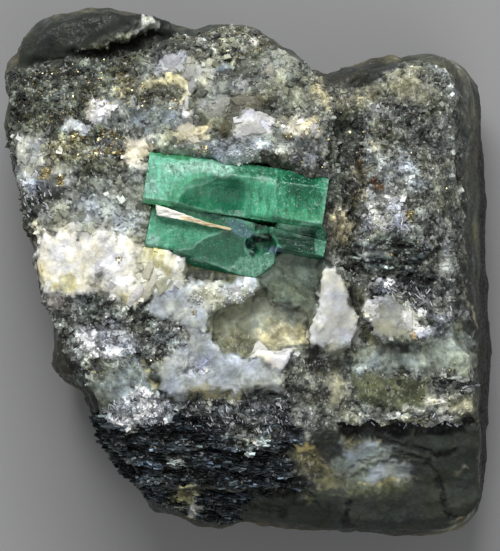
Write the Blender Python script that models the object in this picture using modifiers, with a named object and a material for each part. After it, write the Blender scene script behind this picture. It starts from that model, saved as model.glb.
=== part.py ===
"""Emerald in matrix: two emerald prisms lying in a hand-sized block of black shale and white calcite.

The specimen lies on its flat back. +Z points out of the face that shows the emeralds, +X to the
right of that face and +Y up it. The origin is on the flat back, under the middle of the face.
Outlines and heights below are in millimetres, and MM turns them into metres.
"""

import math

import bmesh
import bpy
from mathutils import Matrix, Vector, noise

MM = 0.001

# Driving dimensions, in millimetres.
EMERALD_FRONT_HEIGHT = 36.0
UPPER_LENGTH = 21.8
LOWER_LENGTH = 21.4
SEAT_GAP = 0.3
SHOULDER_HEIGHT = 21.0
BLOCK_FOOT = 13.0

# The whole rock as seen square on to its face, clockwise from the left end of the top shoulder.
ROCK_OUTLINE = [
    (-29.5, 19.3), (-29.3, 22.7), (-28.9, 25.0), (-27.6, 26.8), (-26.8, 28.6), (-25.4, 30.1),
    (-23.4, 31.3), (-20.5, 32.0), (-16.8, 32.2), (-14.2, 31.8), (-11.9, 31.2), (-10.1, 31.0),
    (-9.0, 30.1), (-7.6, 29.4), (-6.2, 29.3), (-4.9, 29.9), (-3.0, 30.1), (-0.6, 30.1),
    (1.4, 29.3), (2.6, 28.2), (4.6, 27.4), (5.8, 26.5), (6.6, 25.3), (7.8, 24.4),
    (9.2, 23.7), (10.8, 24.5), (13.0, 25.3), (16.4, 25.8), (19.0, 26.2), (21.0, 26.8),
    (24.4, 26.4), (26.6, 25.3), (28.2, 23.0), (28.6, 19.5), (28.7, 13.0), (29.0, 8.0),
    (28.8, 2.5), (29.8, -3.0), (30.1, -8.0), (29.6, -14.0), (29.5, -21.0), (29.3, -27.8),
    (28.2, -30.2), (25.4, -31.2), (20.4, -31.8), (14.2, -31.7), (12.6, -30.9), (11.4, -31.3),
    (8.0, -30.9), (3.5, -30.4), (-1.0, -29.7), (-3.8, -30.5), (-6.8, -29.9), (-9.7, -28.6),
    (-11.4, -28.5), (-12.9, -27.0), (-13.9, -25.4), (-15.6, -24.5), (-16.9, -22.2), (-18.2, -19.8),
    (-19.1, -16.9), (-20.5, -13.3), (-22.4, -12.8), (-23.9, -11.5), (-24.3, -9.8), (-23.8, -8.0),
    (-24.1, -5.7), (-25.2, -3.2), (-25.7, -0.8), (-26.2, 1.9), (-26.0, 3.4), (-27.3, 6.8),
    (-27.8, 10.0), (-28.3, 12.8), (-29.2, 15.6),
]

# How far the rock's outline draws in towards the middle at each height: (height, share of width).
# It stands on the lowest ring, which the cut of the flat back leaves as the foot.
BODY_RINGS = [(-1.5, 0.84), (1.5, 0.91), (4.5, 0.98), (7.5, 1.02), (15.0, 1.015), (SHOULDER_HEIGHT, 1.0)]
# The right wall leans in above this height, by this share of its reach past RIGHT_WALL_X.
RIGHT_WALL_X = 21.5
RIGHT_WALL_FROM = 7.0
RIGHT_WALL_LEAN = 0.030

# The blocks that make up the broken face: (outline, height of the top at the outline's middle, its
# rise per millimetre to the right, its rise per millimetre up the face).
FACE_BLOCKS = {
    "vein_top": (
        [(-28.4, 17.0), (-28.7, 22.0), (-28.2, 24.6), (-25.5, 25.7), (-22.5, 26.4), (-19.5, 26.2),
         (-17.0, 26.4), (-14.5, 27.0), (-12.5, 27.7), (-11.0, 28.5), (-8.0, 29.0), (-5.0, 29.7),
         (-1.0, 29.9), (1.5, 29.1), (2.7, 27.9), (5.2, 26.7), (6.4, 25.2), (8.8, 23.6),
         (11.4, 21.6), (12.2, 19.8), (10.2, 18.4), (9.8, 14.0), (-12.0, 14.0), (-20.0, 12.0)],
        32.2, 0.045, -0.10),
    "vein_left": (
        [(-28.4, 17.5), (-28.2, 12.6), (-27.6, 9.5), (-26.8, 7.2), (-25.9, 4.6), (-25.7, 0.5),
         (-25.2, -1.5), (-24.4, -4.6), (-20.0, -5.5), (-13.0, -4.0), (-12.0, 4.0), (-12.5, 15.0),
         (-20.0, 19.0)],
        32.9, 0.05, 0.0),
    "pyrite_rim": (
        [(-28.0, 19.0), (-27.8, 23.6), (-24.0, 25.2), (-18.0, 25.4), (-13.0, 26.4), (-10.5, 27.6),
         (-11.5, 24.2), (-16.0, 22.2), (-22.0, 20.5)],
        31.9, 0.03, -0.22),
    "crest": (
        [(-6.0, 28.6), (-1.5, 29.4), (1.5, 28.6), (4.8, 26.6), (7.8, 23.8), (10.8, 21.4),
         (8.0, 19.5), (1.0, 21.6), (-6.0, 22.6)],
        33.6, -0.03, -0.12),
    "shoulder_ridge": (
        [(-21.6, 27.3), (-18.0, 29.3), (-14.0, 31.2), (-11.4, 30.9), (-13.4, 29.2), (-18.6, 26.8)],
        22.9, 0.05, 0.10),
    "calcite_rhomb": (
        [(-1.9, 18.9), (0.6, 19.8), (2.3, 19.0), (3.4, 18.0), (1.6, 17.2), (-1.0, 16.8)],
        34.9, 0.05, 0.12),
    "glassy_step": (
        [(-7.0, 19.6), (-4.6, 21.7), (1.6, 22.0), (2.2, 20.2), (-1.6, 19.4), (-3.2, 18.6)],
        34.0, 0.0, 0.2),
    "roof_ledge": (
        [(-12.3, 17.6), (-12.2, 15.4), (-8.0, 14.7), (-4.2, 14.1), (-2.2, 13.2), (-0.6, 13.5),
         (1.0, 14.2), (2.6, 14.7), (4.1, 13.5), (5.4, 13.6), (5.8, 12.3), (9.6, 12.1),
         (10.2, 15.0), (10.0, 18.4), (5.0, 19.0), (-4.0, 18.4)],
        35.0, 0.0, 0.06),
    "left_quartz": (
        [(-18.0, 14.2), (-12.6, 14.8), (-13.3, 9.0), (-12.4, 4.0), (-15.2, 5.0), (-20.0, 8.6)],
        34.0, 0.08, 0.0),
    "white_calcite": (
        [(-25.0, 5.0), (-20.5, 5.9), (-16.6, 5.6), (-14.2, 4.6), (-12.9, 2.4), (-13.4, -1.2),
         (-15.4, -3.4), (-18.6, -1.6), (-21.6, -2.6), (-24.6, -1.4), (-25.4, 1.6)],
        34.1, 0.02, 0.06),
    "flaky_calcite": (
        [(-13.2, 3.4), (-10.4, 3.3), (-8.4, 2.7), (-7.1, 1.4), (-7.8, -0.4), (-10.2, -1.9),
         (-13.6, -3.8), (-15.0, -1.0)],
        34.4, 0.02, 0.10),
    "dark_nose": (
        [(-20.4, -2.4), (-16.6, -2.0), (-13.2, -4.2), (-13.6, -6.0), (-17.0, -6.2), (-20.4, -5.6)],
        33.6, 0.0, 0.16),
    "lower_left": (
        [(-24.4, -3.6), (-19.0, -5.4), (-12.4, -5.0), (-10.4, -9.0), (-11.0, -15.4), (-19.0, -15.6),
         (-21.6, -11.8), (-23.2, -8.0)],
        32.0, 0.07, 0.07),
    "quartz_mass": (
        [(-12.6, -3.0), (-8.0, -0.8), (-3.2, -0.4), (-3.0, -3.6), (-4.6, -4.6), (-4.1, -7.9),
         (-1.6, -9.4), (0.4, -9.9), (3.0, -11.2), (4.6, -10.6), (4.2, -13.8), (-2.0, -14.6),
         (-10.0, -14.8), (-12.0, -11.0)],
        33.2, -0.03, 0.07),
    "tongue": (
        [(-5.6, -0.2), (-0.4, -0.1), (2.1, -1.2), (0.6, -2.0), (-1.4, -3.6), (-3.4, -3.6)],
        33.3, -0.06, 0.0),
    "hollow_floor": (
        [(-5.4, 1.0), (9.0, 3.0), (8.6, -9.6), (0.0, -10.4), (-5.2, -8.4)],
        30.3, 0.0, -0.04),
    "grey_step": (
        [(1.8, 2.2), (8.7, 2.6), (8.3, -2.4), (7.2, -4.6), (3.4, -3.4), (1.4, -1.6)],
        31.7, 0.05, 0.05),
    "crescent": (
        [(0.2, -9.6), (1.0, -7.8), (1.9, -8.9), (4.2, -9.3), (5.6, -8.7), (4.2, -11.0), (2.2, -10.9)],
        33.4, 0.0, 0.10),
    "light_slab": (
        [(8.6, 1.0), (10.2, 0.9), (12.4, -1.2), (11.8, -3.7), (13.3, -5.6), (13.0, -7.4),
         (11.4, -9.2), (9.4, -10.1), (8.0, -9.0), (6.7, -8.3), (7.5, -5.4), (8.3, -1.8)],
        34.1, -0.07, 0.04),
    "channel_floor": (
        [(8.8, 20.6), (15.0, 22.0), (15.0, 0.0), (9.6, 0.4)],
        29.9, -0.03, 0.02),
    "granular_foot": (
        [(3.8, -10.6), (6.4, -9.2), (9.4, -9.8), (12.2, -8.6), (12.6, -18.4), (9.0, -20.0),
         (5.0, -20.4), (3.6, -14.0)],
        30.9, -0.05, 0.12),
    "banded_shale": (
        [(-19.4, -14.6), (-10.0, -14.2), (4.4, -13.6), (9.6, -12.4), (11.4, -15.6), (9.0, -19.4),
         (6.4, -23.8), (3.0, -26.2), (-4.0, -26.8), (-12.4, -26.9), (-14.4, -24.4), (-16.8, -21.6),
         (-18.4, -18.0)],
        29.2, -0.05, 0.42),
    "shale_lip": (
        [(-12.9, -26.4), (-4.0, -25.4), (8.0, -25.6), (13.4, -26.6), (11.6, -30.9), (2.0, -29.8),
         (-4.0, -30.0), (-9.6, -28.3)],
        22.4, -0.04, 0.62),
    "right_face": (
        [(13.6, 20.0), (24.6, 20.6), (25.4, 10.0), (25.4, -8.0), (25.6, -17.2), (12.4, -16.6),
         (12.0, -1.0), (14.2, 6.0)],
        29.6, -0.16, 0.0),
    "right_top": (
        [(9.8, 21.8), (13.2, 22.9), (16.4, 24.3), (19.0, 25.6), (23.4, 25.4), (25.0, 22.6),
         (24.6, 18.6), (12.0, 19.0)],
        28.2, -0.05, -0.26),
    "granular_face": (
        [(14.6, 19.2), (22.8, 18.6), (23.4, 6.0), (14.0, 6.2), (13.2, 10.4), (14.4, 13.6)],
        31.0, -0.12, 0.03),
    "bedded_lump": (
        [(12.2, 3.6), (14.6, 5.4), (19.6, 6.0), (22.6, 3.4), (21.6, 0.8), (17.4, 0.2), (13.2, 1.0)],
        31.8, -0.08, 0.06),
    "white_lump": (
        [(14.4, -0.8), (17.0, -1.4), (19.8, -3.2), (22.6, -5.6), (21.6, -7.2), (18.8, -7.9),
         (15.8, -7.9), (13.6, -5.6), (13.3, -3.8)],
        32.6, -0.06, -0.10),
    "grey_shelf": (
        [(11.6, -8.6), (16.0, -9.2), (20.4, -9.6), (26.6, -8.4), (27.4, -14.0), (27.5, -17.0),
         (23.8, -17.9), (13.6, -18.0), (11.0, -13.4)],
        30.2, -0.08, 0.06),
    "lower_right": (
        [(4.0, -19.4), (12.0, -18.2), (28.3, -17.4), (28.8, -27.4), (27.4, -29.8), (20.0, -31.4),
         (14.2, -31.2), (11.8, -30.4), (4.6, -27.6)],
        24.9, -0.05, 0.42),
    "milky_vein": (
        [(6.0, -21.0), (12.0, -19.6), (16.8, -21.2), (19.2, -24.6), (15.0, -25.8), (9.0, -25.2)],
        26.4, -0.04, 0.42),
}

# Cross-sections of the two prisms across their length: (across the face, out of the face).
# The angles between faces are 120 degrees, as on beryl, and the widths differ as they grew.
UPPER_SECTION = [(1.80, 0.0), (-2.55, 0.0), (-3.25, -1.21), (-1.29, -4.60), (2.04, -4.60), (3.25, -2.50)]
LOWER_SECTION = [(1.35, 0.0), (-3.00, 0.0), (-4.30, -2.25), (-2.95, -4.60), (2.00, -4.60), (3.00, -2.86)]
# Where each prism's front face has its middle, how it lies along the face, and how it rolls about its length.
UPPER_MIDDLE = (-1.69, 10.26, EMERALD_FRONT_HEIGHT)
UPPER_TURN = -8.4
UPPER_ROLL = 3.0
LOWER_MIDDLE = (-1.55, 4.75, EMERALD_FRONT_HEIGHT - 1.9)
LOWER_TURN = -11.0
LOWER_ROLL = -9.0

# Shell-shaped scars on the crystals, in each crystal's own frame: (middle, radii) of the round cut.
UPPER_SCARS = [
    ((-1.5, -1.7, 4.8), (9.2, 5.4, 5.9)),
    ((0.5, -1.6, 3.6), (5.5, 4.2, 5.1)),
]
LOWER_SCARS = [
    ((3.0, -0.4, 0.0), (1.9, 1.2, 2.6)),
]
# Flat breaks on the lower crystal: (middle of the upper edge, length, turn, dip). An upright break
# is also left out of the crystal's seat, because rock fills the place there.
UPRIGHT = 90.0
LOWER_BREAKS = [
    ((-11.2, -3.3, 1.0), 8.0, 2.0, UPRIGHT),
    ((9.0, -0.46, 1.0), 8.0, 0.0, UPRIGHT),
    ((4.5, -2.7, 1.0), 6.0, 48.0, UPRIGHT),
    ((-4.2, -1.2, 0.0), 16.0, 29.0, 22.0),
]
BREAK_REACH = 16.0

# Direction across the shale's layers, their thickness, how far their broken edges stand out, how
# far each edge leans back, and how far the layers wander over how many millimetres.
LAYER_NORMAL = Vector((0.10, 0.86, 0.50)).normalized()
LAYER_THICKNESS = 1.7
LAYER_DEPTH = 0.38
LAYER_LEAN = 0.4
LAYER_WANDER = 1.3
LAYER_WANDER_SPAN = 9.0
# Below this line on the face the rock is bedded shale, whose layers end one under another.
BEDDED_BELOW = -14.0
BEDDED_MARGIN = 3.0
BEDDED_SHARE = 0.8

# Broad swells of the broken rock, and the facets chipped off it: how far they reach out or in, and
# how many millimetres they span.
SWELL_DEPTH = 0.55
SWELL_SPAN = 7.7
CHIP_DEPTH = 0.60
CHIP_SPAN = 3.3
CHIP_LEVEL = 0.62

# Size of the cells that the rock is grown together from, and the number of its triangles.
VOXEL = 0.62
ROCK_FACES = 8400
WELD = 0.001
# How far the cut of the flat back reaches past the rock.
CUT_REACH = 45.0


def clear_scene():
    for obj in list(bpy.data.objects):
        bpy.data.objects.remove(obj, do_unlink=True)


def new_collection(name):
    collection = bpy.data.collections.new(name)
    bpy.context.scene.collection.children.link(collection)
    return collection


def new_object(name, mesh, collection):
    obj = bpy.data.objects.new(name, mesh)
    collection.objects.link(obj)
    return obj


def evaluated_mesh(obj, name):
    """A new mesh of the object as its modifiers leave it."""
    graph = bpy.context.evaluated_depsgraph_get()
    graph.update()
    mesh = bpy.data.meshes.new_from_object(obj.evaluated_get(graph))
    mesh.name = name
    return mesh


def material(name, colour, roughness, transmission=0.0, ior=1.5):
    made = bpy.data.materials.new(name)
    made.use_nodes = True
    shader = made.node_tree.nodes["Principled BSDF"]
    shader.inputs["Base Color"].default_value = (*colour, 1.0)
    shader.inputs["Roughness"].default_value = roughness
    shader.inputs["Metallic"].default_value = 0.0
    shader.inputs["Transmission Weight"].default_value = transmission
    shader.inputs["IOR"].default_value = ior
    return made


def anticlockwise(outline):
    area = sum(a[0] * b[1] - b[0] * a[1] for a, b in zip(outline, outline[1:] + outline[:1]))
    return outline if area > 0 else outline[::-1]


def loft(bm, rings):
    """Closes a stack of rings with the same number of points into one solid, lowest ring first."""
    rows = [[bm.verts.new(Vector(point) * MM) for point in ring] for ring in rings]
    count = len(rows[0])
    for low, high in zip(rows, rows[1:]):
        for i in range(count):
            j = (i + 1) % count
            bm.faces.new((low[i], low[j], high[j], high[i]))
    bm.faces.new(rows[0][::-1])
    bm.faces.new(rows[-1])


def add_body(bm):
    """The mass of the rock behind the face, drawn in towards the flat back."""
    rings = []
    for height, share in BODY_RINGS:
        lean = 1.0 - RIGHT_WALL_LEAN * max(0.0, height - RIGHT_WALL_FROM)
        ring = []
        for x, y in anticlockwise(ROCK_OUTLINE):
            if x > RIGHT_WALL_X:
                x = RIGHT_WALL_X + (x - RIGHT_WALL_X) * lean
            ring.append((x * share, y * share, height))
        rings.append(ring)
    loft(bm, rings)


def add_block(bm, name, block, collection):
    """One block of the broken face: a thick plate of its outline, whose top tilts as stated."""
    outline, height, rise_x, rise_y = block
    middle_x = sum(x for x, _ in outline) / len(outline)
    middle_y = sum(y for _, y in outline) / len(outline)
    tilt = Vector((-rise_x, -rise_y, 1.0)).to_track_quat("Z", "Y").to_matrix()
    half = (height - BLOCK_FOOT) / 2 * MM

    curve = bpy.data.curves.new(name, "CURVE")
    curve.dimensions = "2D"
    curve.fill_mode = "BOTH"
    curve.extrude = half
    spline = curve.splines.new("POLY")
    spline.points.add(len(outline) - 1)
    spline.use_cyclic_u = True
    for point, (x, y) in zip(spline.points, outline):
        across = Vector((x - middle_x, y - middle_y, 0.0))
        across.z = across.x * rise_x + across.y * rise_y
        flat = tilt.transposed() @ (across * MM)
        point.co = (flat.x, flat.y, 0.0, 1.0)

    plate = new_object(name, curve, collection)
    placing = Matrix.Translation(Vector((middle_x, middle_y, height)) * MM) @ tilt.to_4x4()
    placing = placing @ Matrix.Translation((0.0, 0.0, -half))
    mesh = evaluated_mesh(plate, name)
    mesh.transform(placing)
    bm.from_mesh(mesh)
    bpy.data.objects.remove(plate)


def layer_step(point_mm):
    """How far the broken edges of the shale's layers stand out at this point, from -1 to 1."""
    wander = LAYER_WANDER * noise.noise(point_mm / LAYER_WANDER_SPAN)
    phase = (point_mm.dot(LAYER_NORMAL) + wander) / LAYER_THICKNESS
    layer = math.floor(phase)
    reach = 2.0 * noise.cell(Vector((layer, 3.1, 7.7)))
    return reach * (1.0 - LAYER_LEAN * (phase - layer)) - 1.0 + LAYER_LEAN / 2


def roughen(mesh):
    """Breaks the smooth surface into lumps, chipped facets and the edges of layers."""
    moves = []
    for vertex in mesh.vertices:
        point = vertex.co / MM
        swell = SWELL_DEPTH * noise.fractal(point / SWELL_SPAN, 1.0, 2.1, 3)
        nearest, following = noise.voronoi(point / CHIP_SPAN)[0][:2]
        chip = CHIP_DEPTH * ((nearest + following) / 2 - CHIP_LEVEL)
        bedded = min(max((BEDDED_BELOW - point.y) / BEDDED_MARGIN, 0.0), 1.0)
        broken_across = max(1.0 - abs(vertex.normal.z), BEDDED_SHARE * bedded)
        layers = LAYER_DEPTH * broken_across * layer_step(point)
        moves.append(vertex.normal * (swell - chip + layers) * MM)
    for vertex, move in zip(mesh.vertices, moves):
        vertex.co += move


def hidden_cutter(obj):
    obj.hide_render = True
    obj.display_type = "WIRE"
    return obj


def box_cutter(name, low, high, collection):
    """A hidden box between two corners, in millimetres."""
    middle = (Vector(low) + Vector(high)) / 2
    size = Vector(high) - Vector(low)
    bm = bmesh.new()
    bmesh.ops.create_cube(bm, size=1.0)
    bmesh.ops.scale(bm, vec=size * MM, verts=bm.verts)
    bmesh.ops.translate(bm, vec=middle * MM, verts=bm.verts)
    mesh = bpy.data.meshes.new(name)
    bm.to_mesh(mesh)
    bm.free()
    return hidden_cutter(new_object(name, mesh, collection))


def break_cutter(name, edge_middle, length, turn, dip, placing, collection):
    """A hidden box that lies above a flat break, which dips away from its upper edge."""
    half = length / 2
    cutter = box_cutter(name, (-half, -BREAK_REACH, 0.0), (half, 0.0, BREAK_REACH), collection)
    turned = Matrix.Rotation(math.radians(turn), 4, "Z")
    dipped = Matrix.Rotation(math.radians(dip), 4, "X")
    cutter.matrix_world = placing @ Matrix.Translation(Vector(edge_middle) * MM) @ turned @ dipped
    return cutter


def scar_cutter(name, middle, radii, collection):
    bm = bmesh.new()
    bmesh.ops.create_uvsphere(bm, u_segments=32, v_segments=20, radius=1.0)
    bmesh.ops.scale(bm, vec=Vector(radii) * MM, verts=bm.verts)
    bmesh.ops.translate(bm, vec=Vector(middle) * MM, verts=bm.verts)
    mesh = bpy.data.meshes.new(name)
    bm.to_mesh(mesh)
    bm.free()
    return hidden_cutter(new_object(name, mesh, collection))


def cut(obj, cutter):
    modifier = obj.modifiers.new(cutter.name, "BOOLEAN")
    modifier.operation = "DIFFERENCE"
    modifier.solver = "EXACT"
    modifier.object = cutter


def prism_mesh(name, section, length, grow=0.0):
    """A six-sided prism along X. Its section lies in Y and Z, and grow moves every face out."""
    if grow:
        middle_y = sum(y for y, _ in section) / len(section)
        middle_z = sum(z for _, z in section) / len(section)
        reach = sum(math.hypot(y - middle_y, z - middle_z) for y, z in section) / len(section)
        share = 1.0 + grow / (reach * math.cos(math.pi / 6))
        section = [(middle_y + (y - middle_y) * share, middle_z + (z - middle_z) * share) for y, z in section]
    half = length / 2 + grow
    bm = bmesh.new()
    ends = [[bm.verts.new(Vector((x, y, z)) * MM) for y, z in section] for x in (-half, half)]
    count = len(section)
    for i in range(count):
        j = (i + 1) % count
        bm.faces.new((ends[0][i], ends[0][j], ends[1][j], ends[1][i]))
    bm.faces.new(ends[0][::-1])
    bm.faces.new(ends[1])
    bmesh.ops.recalc_face_normals(bm, faces=bm.faces)
    mesh = bpy.data.meshes.new(name)
    bm.to_mesh(mesh)
    bm.free()
    return mesh


def lie(middle, turn_degrees, roll_degrees):
    """The placing of a crystal: rolled about its length, turned across the face and set at its middle."""
    turn = Matrix.Rotation(math.radians(turn_degrees), 4, "Z")
    roll = Matrix.Rotation(math.radians(roll_degrees), 4, "X")
    return Matrix.Translation(Vector(middle) * MM) @ turn @ roll


def build_emerald(name, section, length, placing, scars, breaks, parts, cutters, finish):
    """One prism with its scars and flat breaks, laid in its place."""
    obj = new_object(name, prism_mesh(name, section, length), parts)
    obj.matrix_world = placing
    for number, (middle, radii) in enumerate(scars, 1):
        cutter = scar_cutter(f"{name}_scar_{number}", middle, radii, cutters)
        cutter.matrix_world = placing
        cut(obj, cutter)
    for number, (edge_middle, reach, turn, dip) in enumerate(breaks, 1):
        cut(obj, break_cutter(f"{name}_break_{number}", edge_middle, reach, turn, dip, placing, cutters))
    obj.data.materials.append(finish)
    return obj


def build_matrix(seats, parts, cutters, finish):
    """The rock: its body and blocks grown into one mass, broken up, cut flat at the back and seated."""
    bm = bmesh.new()
    add_body(bm)
    for name, block in FACE_BLOCKS.items():
        add_block(bm, name, block, cutters)
    bmesh.ops.remove_doubles(bm, verts=bm.verts, dist=WELD * MM)
    mesh = bpy.data.meshes.new("matrix_blocks")
    bm.to_mesh(mesh)
    bm.free()

    mass = new_object("matrix_mass", mesh, cutters)
    merge = mass.modifiers.new("grow_together", "REMESH")
    merge.mode = "VOXEL"
    merge.voxel_size = VOXEL * MM
    soften = mass.modifiers.new("soften", "SMOOTH")
    soften.factor = 0.5
    soften.iterations = 1
    rock = new_object("matrix", evaluated_mesh(mass, "matrix"), parts)
    bpy.data.objects.remove(mass)

    roughen(rock.data)
    thin = rock.modifiers.new("thin", "DECIMATE")
    faces = len(rock.data.polygons) * 2
    thin.ratio = ROCK_FACES / faces
    thinned = evaluated_mesh(rock, "matrix")
    rock.modifiers.clear()
    rock.data = thinned

    below = (-CUT_REACH, -CUT_REACH, -CUT_REACH)
    cut(rock, box_cutter("flat_back", below, (CUT_REACH, CUT_REACH, 0.0), cutters))
    for number, seat in enumerate(seats, 1):
        cut(rock, seat)
    rock.data.materials.append(finish)
    return rock


def build_seat(name, section, length, placing, breaks, cutters):
    """The hollow that a crystal sits in, a touch wider than the crystal all round."""
    seat = new_object(name, prism_mesh(name, section, length, SEAT_GAP), cutters)
    seat.matrix_world = placing
    for number, (edge_middle, reach, turn, dip) in enumerate(breaks, 1):
        if dip == UPRIGHT:
            away = Matrix.Rotation(math.radians(turn), 3, "Z") @ Vector((0.0, -SEAT_GAP, 0.0))
            edge = Vector(edge_middle) + away
            cut(seat, break_cutter(f"{name}_break_{number}", edge, reach, turn, dip, placing, cutters))
    return hidden_cutter(seat)


def main():
    clear_scene()
    parts = new_collection("emerald_in_matrix")
    cutters = new_collection("cutters")
    green = material("emerald", (0.10, 0.42, 0.25), 0.12, transmission=0.7, ior=1.58)
    stone = material("shale_and_calcite", (0.30, 0.31, 0.29), 0.85)

    upper_place = lie(UPPER_MIDDLE, UPPER_TURN, UPPER_ROLL)
    lower_place = lie(LOWER_MIDDLE, LOWER_TURN, LOWER_ROLL)
    upper_seat = build_seat("upper_seat", UPPER_SECTION, UPPER_LENGTH, upper_place, [], cutters)
    lower_seat = build_seat("lower_seat", LOWER_SECTION, LOWER_LENGTH, lower_place, LOWER_BREAKS, cutters)

    build_matrix([upper_seat, lower_seat], parts, cutters, stone)
    build_emerald(
        "emerald_upper", UPPER_SECTION, UPPER_LENGTH, upper_place, UPPER_SCARS, [],
        parts, cutters, green)
    lower = build_emerald(
        "emerald_lower", LOWER_SECTION, LOWER_LENGTH, lower_place, LOWER_SCARS, LOWER_BREAKS,
        parts, cutters, green)
    cut(lower, upper_seat)


main()
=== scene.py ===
"""Emerald in matrix: the finish of the rock and its crystals, the light and the camera."""
import math

import bmesh
import bpy
import numpy as np
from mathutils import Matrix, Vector, noise
from mathutils.bvhtree import BVHTree


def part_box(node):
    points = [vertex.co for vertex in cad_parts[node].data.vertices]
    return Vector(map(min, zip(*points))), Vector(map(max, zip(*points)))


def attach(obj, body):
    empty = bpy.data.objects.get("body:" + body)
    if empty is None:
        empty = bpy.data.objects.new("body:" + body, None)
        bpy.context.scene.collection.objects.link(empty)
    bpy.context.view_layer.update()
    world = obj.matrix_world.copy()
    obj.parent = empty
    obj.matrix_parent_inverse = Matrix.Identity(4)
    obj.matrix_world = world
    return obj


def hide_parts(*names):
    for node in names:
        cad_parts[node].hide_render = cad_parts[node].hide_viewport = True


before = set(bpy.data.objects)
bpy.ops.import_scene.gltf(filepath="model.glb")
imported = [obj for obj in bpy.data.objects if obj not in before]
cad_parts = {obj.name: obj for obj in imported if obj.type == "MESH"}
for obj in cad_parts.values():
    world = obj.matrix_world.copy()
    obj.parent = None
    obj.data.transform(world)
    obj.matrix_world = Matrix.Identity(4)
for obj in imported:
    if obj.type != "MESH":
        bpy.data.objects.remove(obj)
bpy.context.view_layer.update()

# Outlines, sizes and heights are in millimetres, and MM turns them into metres.
MM = 0.001
SEED = 7
FACE_HEIGHT = 36.0

# The fine surface of the rock.
ROCK_VOXEL = 0.618
FACE_FLOOR = 14.0
HUG = 1.3
HUG_GAP = 0.02
# Banks of rock grown up against the crystals: the corners of each (x, y, height), and how deep they reach.
BANK_FOOT = 19.0
BANKS = [
    [(9.3, 12.6, 34.4), (10.6, 12.9, 34.2), (8.8, 5.6, 34.0), (9.6, 1.8, 32.8), (12.6, 11.5, 29.8), (12.4, 2.6, 30.2)],
    [(-9.4, 3.2, 33.0), (-8.6, 2.4, 32.4), (-6.0, 1.1, 32.1), (-6.0, -1.1, 32.6), (-8.8, 0.8, 33.2)],
    [(-6.0, 1.1, 32.1), (-2.0, 0.5, 31.9), (-2.0, -1.0, 32.4), (-6.0, -1.1, 32.6)],
    [(-2.0, 0.5, 31.9), (1.0, 0.1, 31.4), (0.8, -1.4, 32.0), (-2.0, -1.0, 32.4)],
]
LAYER_NORMAL = Vector((0.10, 0.86, 0.50)).normalized()
LAYER = 0.62
EMERALD_VOXEL = 0.115
GAP_START = -11.0
GAP_REACH = 1.7
SHELF_TOP = 33.7
SCAR_END = 3.6
HOLE = Vector((1.1, 4.0, 33.5))

# Camera: straight down on the face, 0.12 mm to a pixel of a picture 500 by 551.
PIXEL = 0.12
PICTURE = (500, 551)
SENSOR = 36.0
CAMERA_AWAY = 1.0

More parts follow.
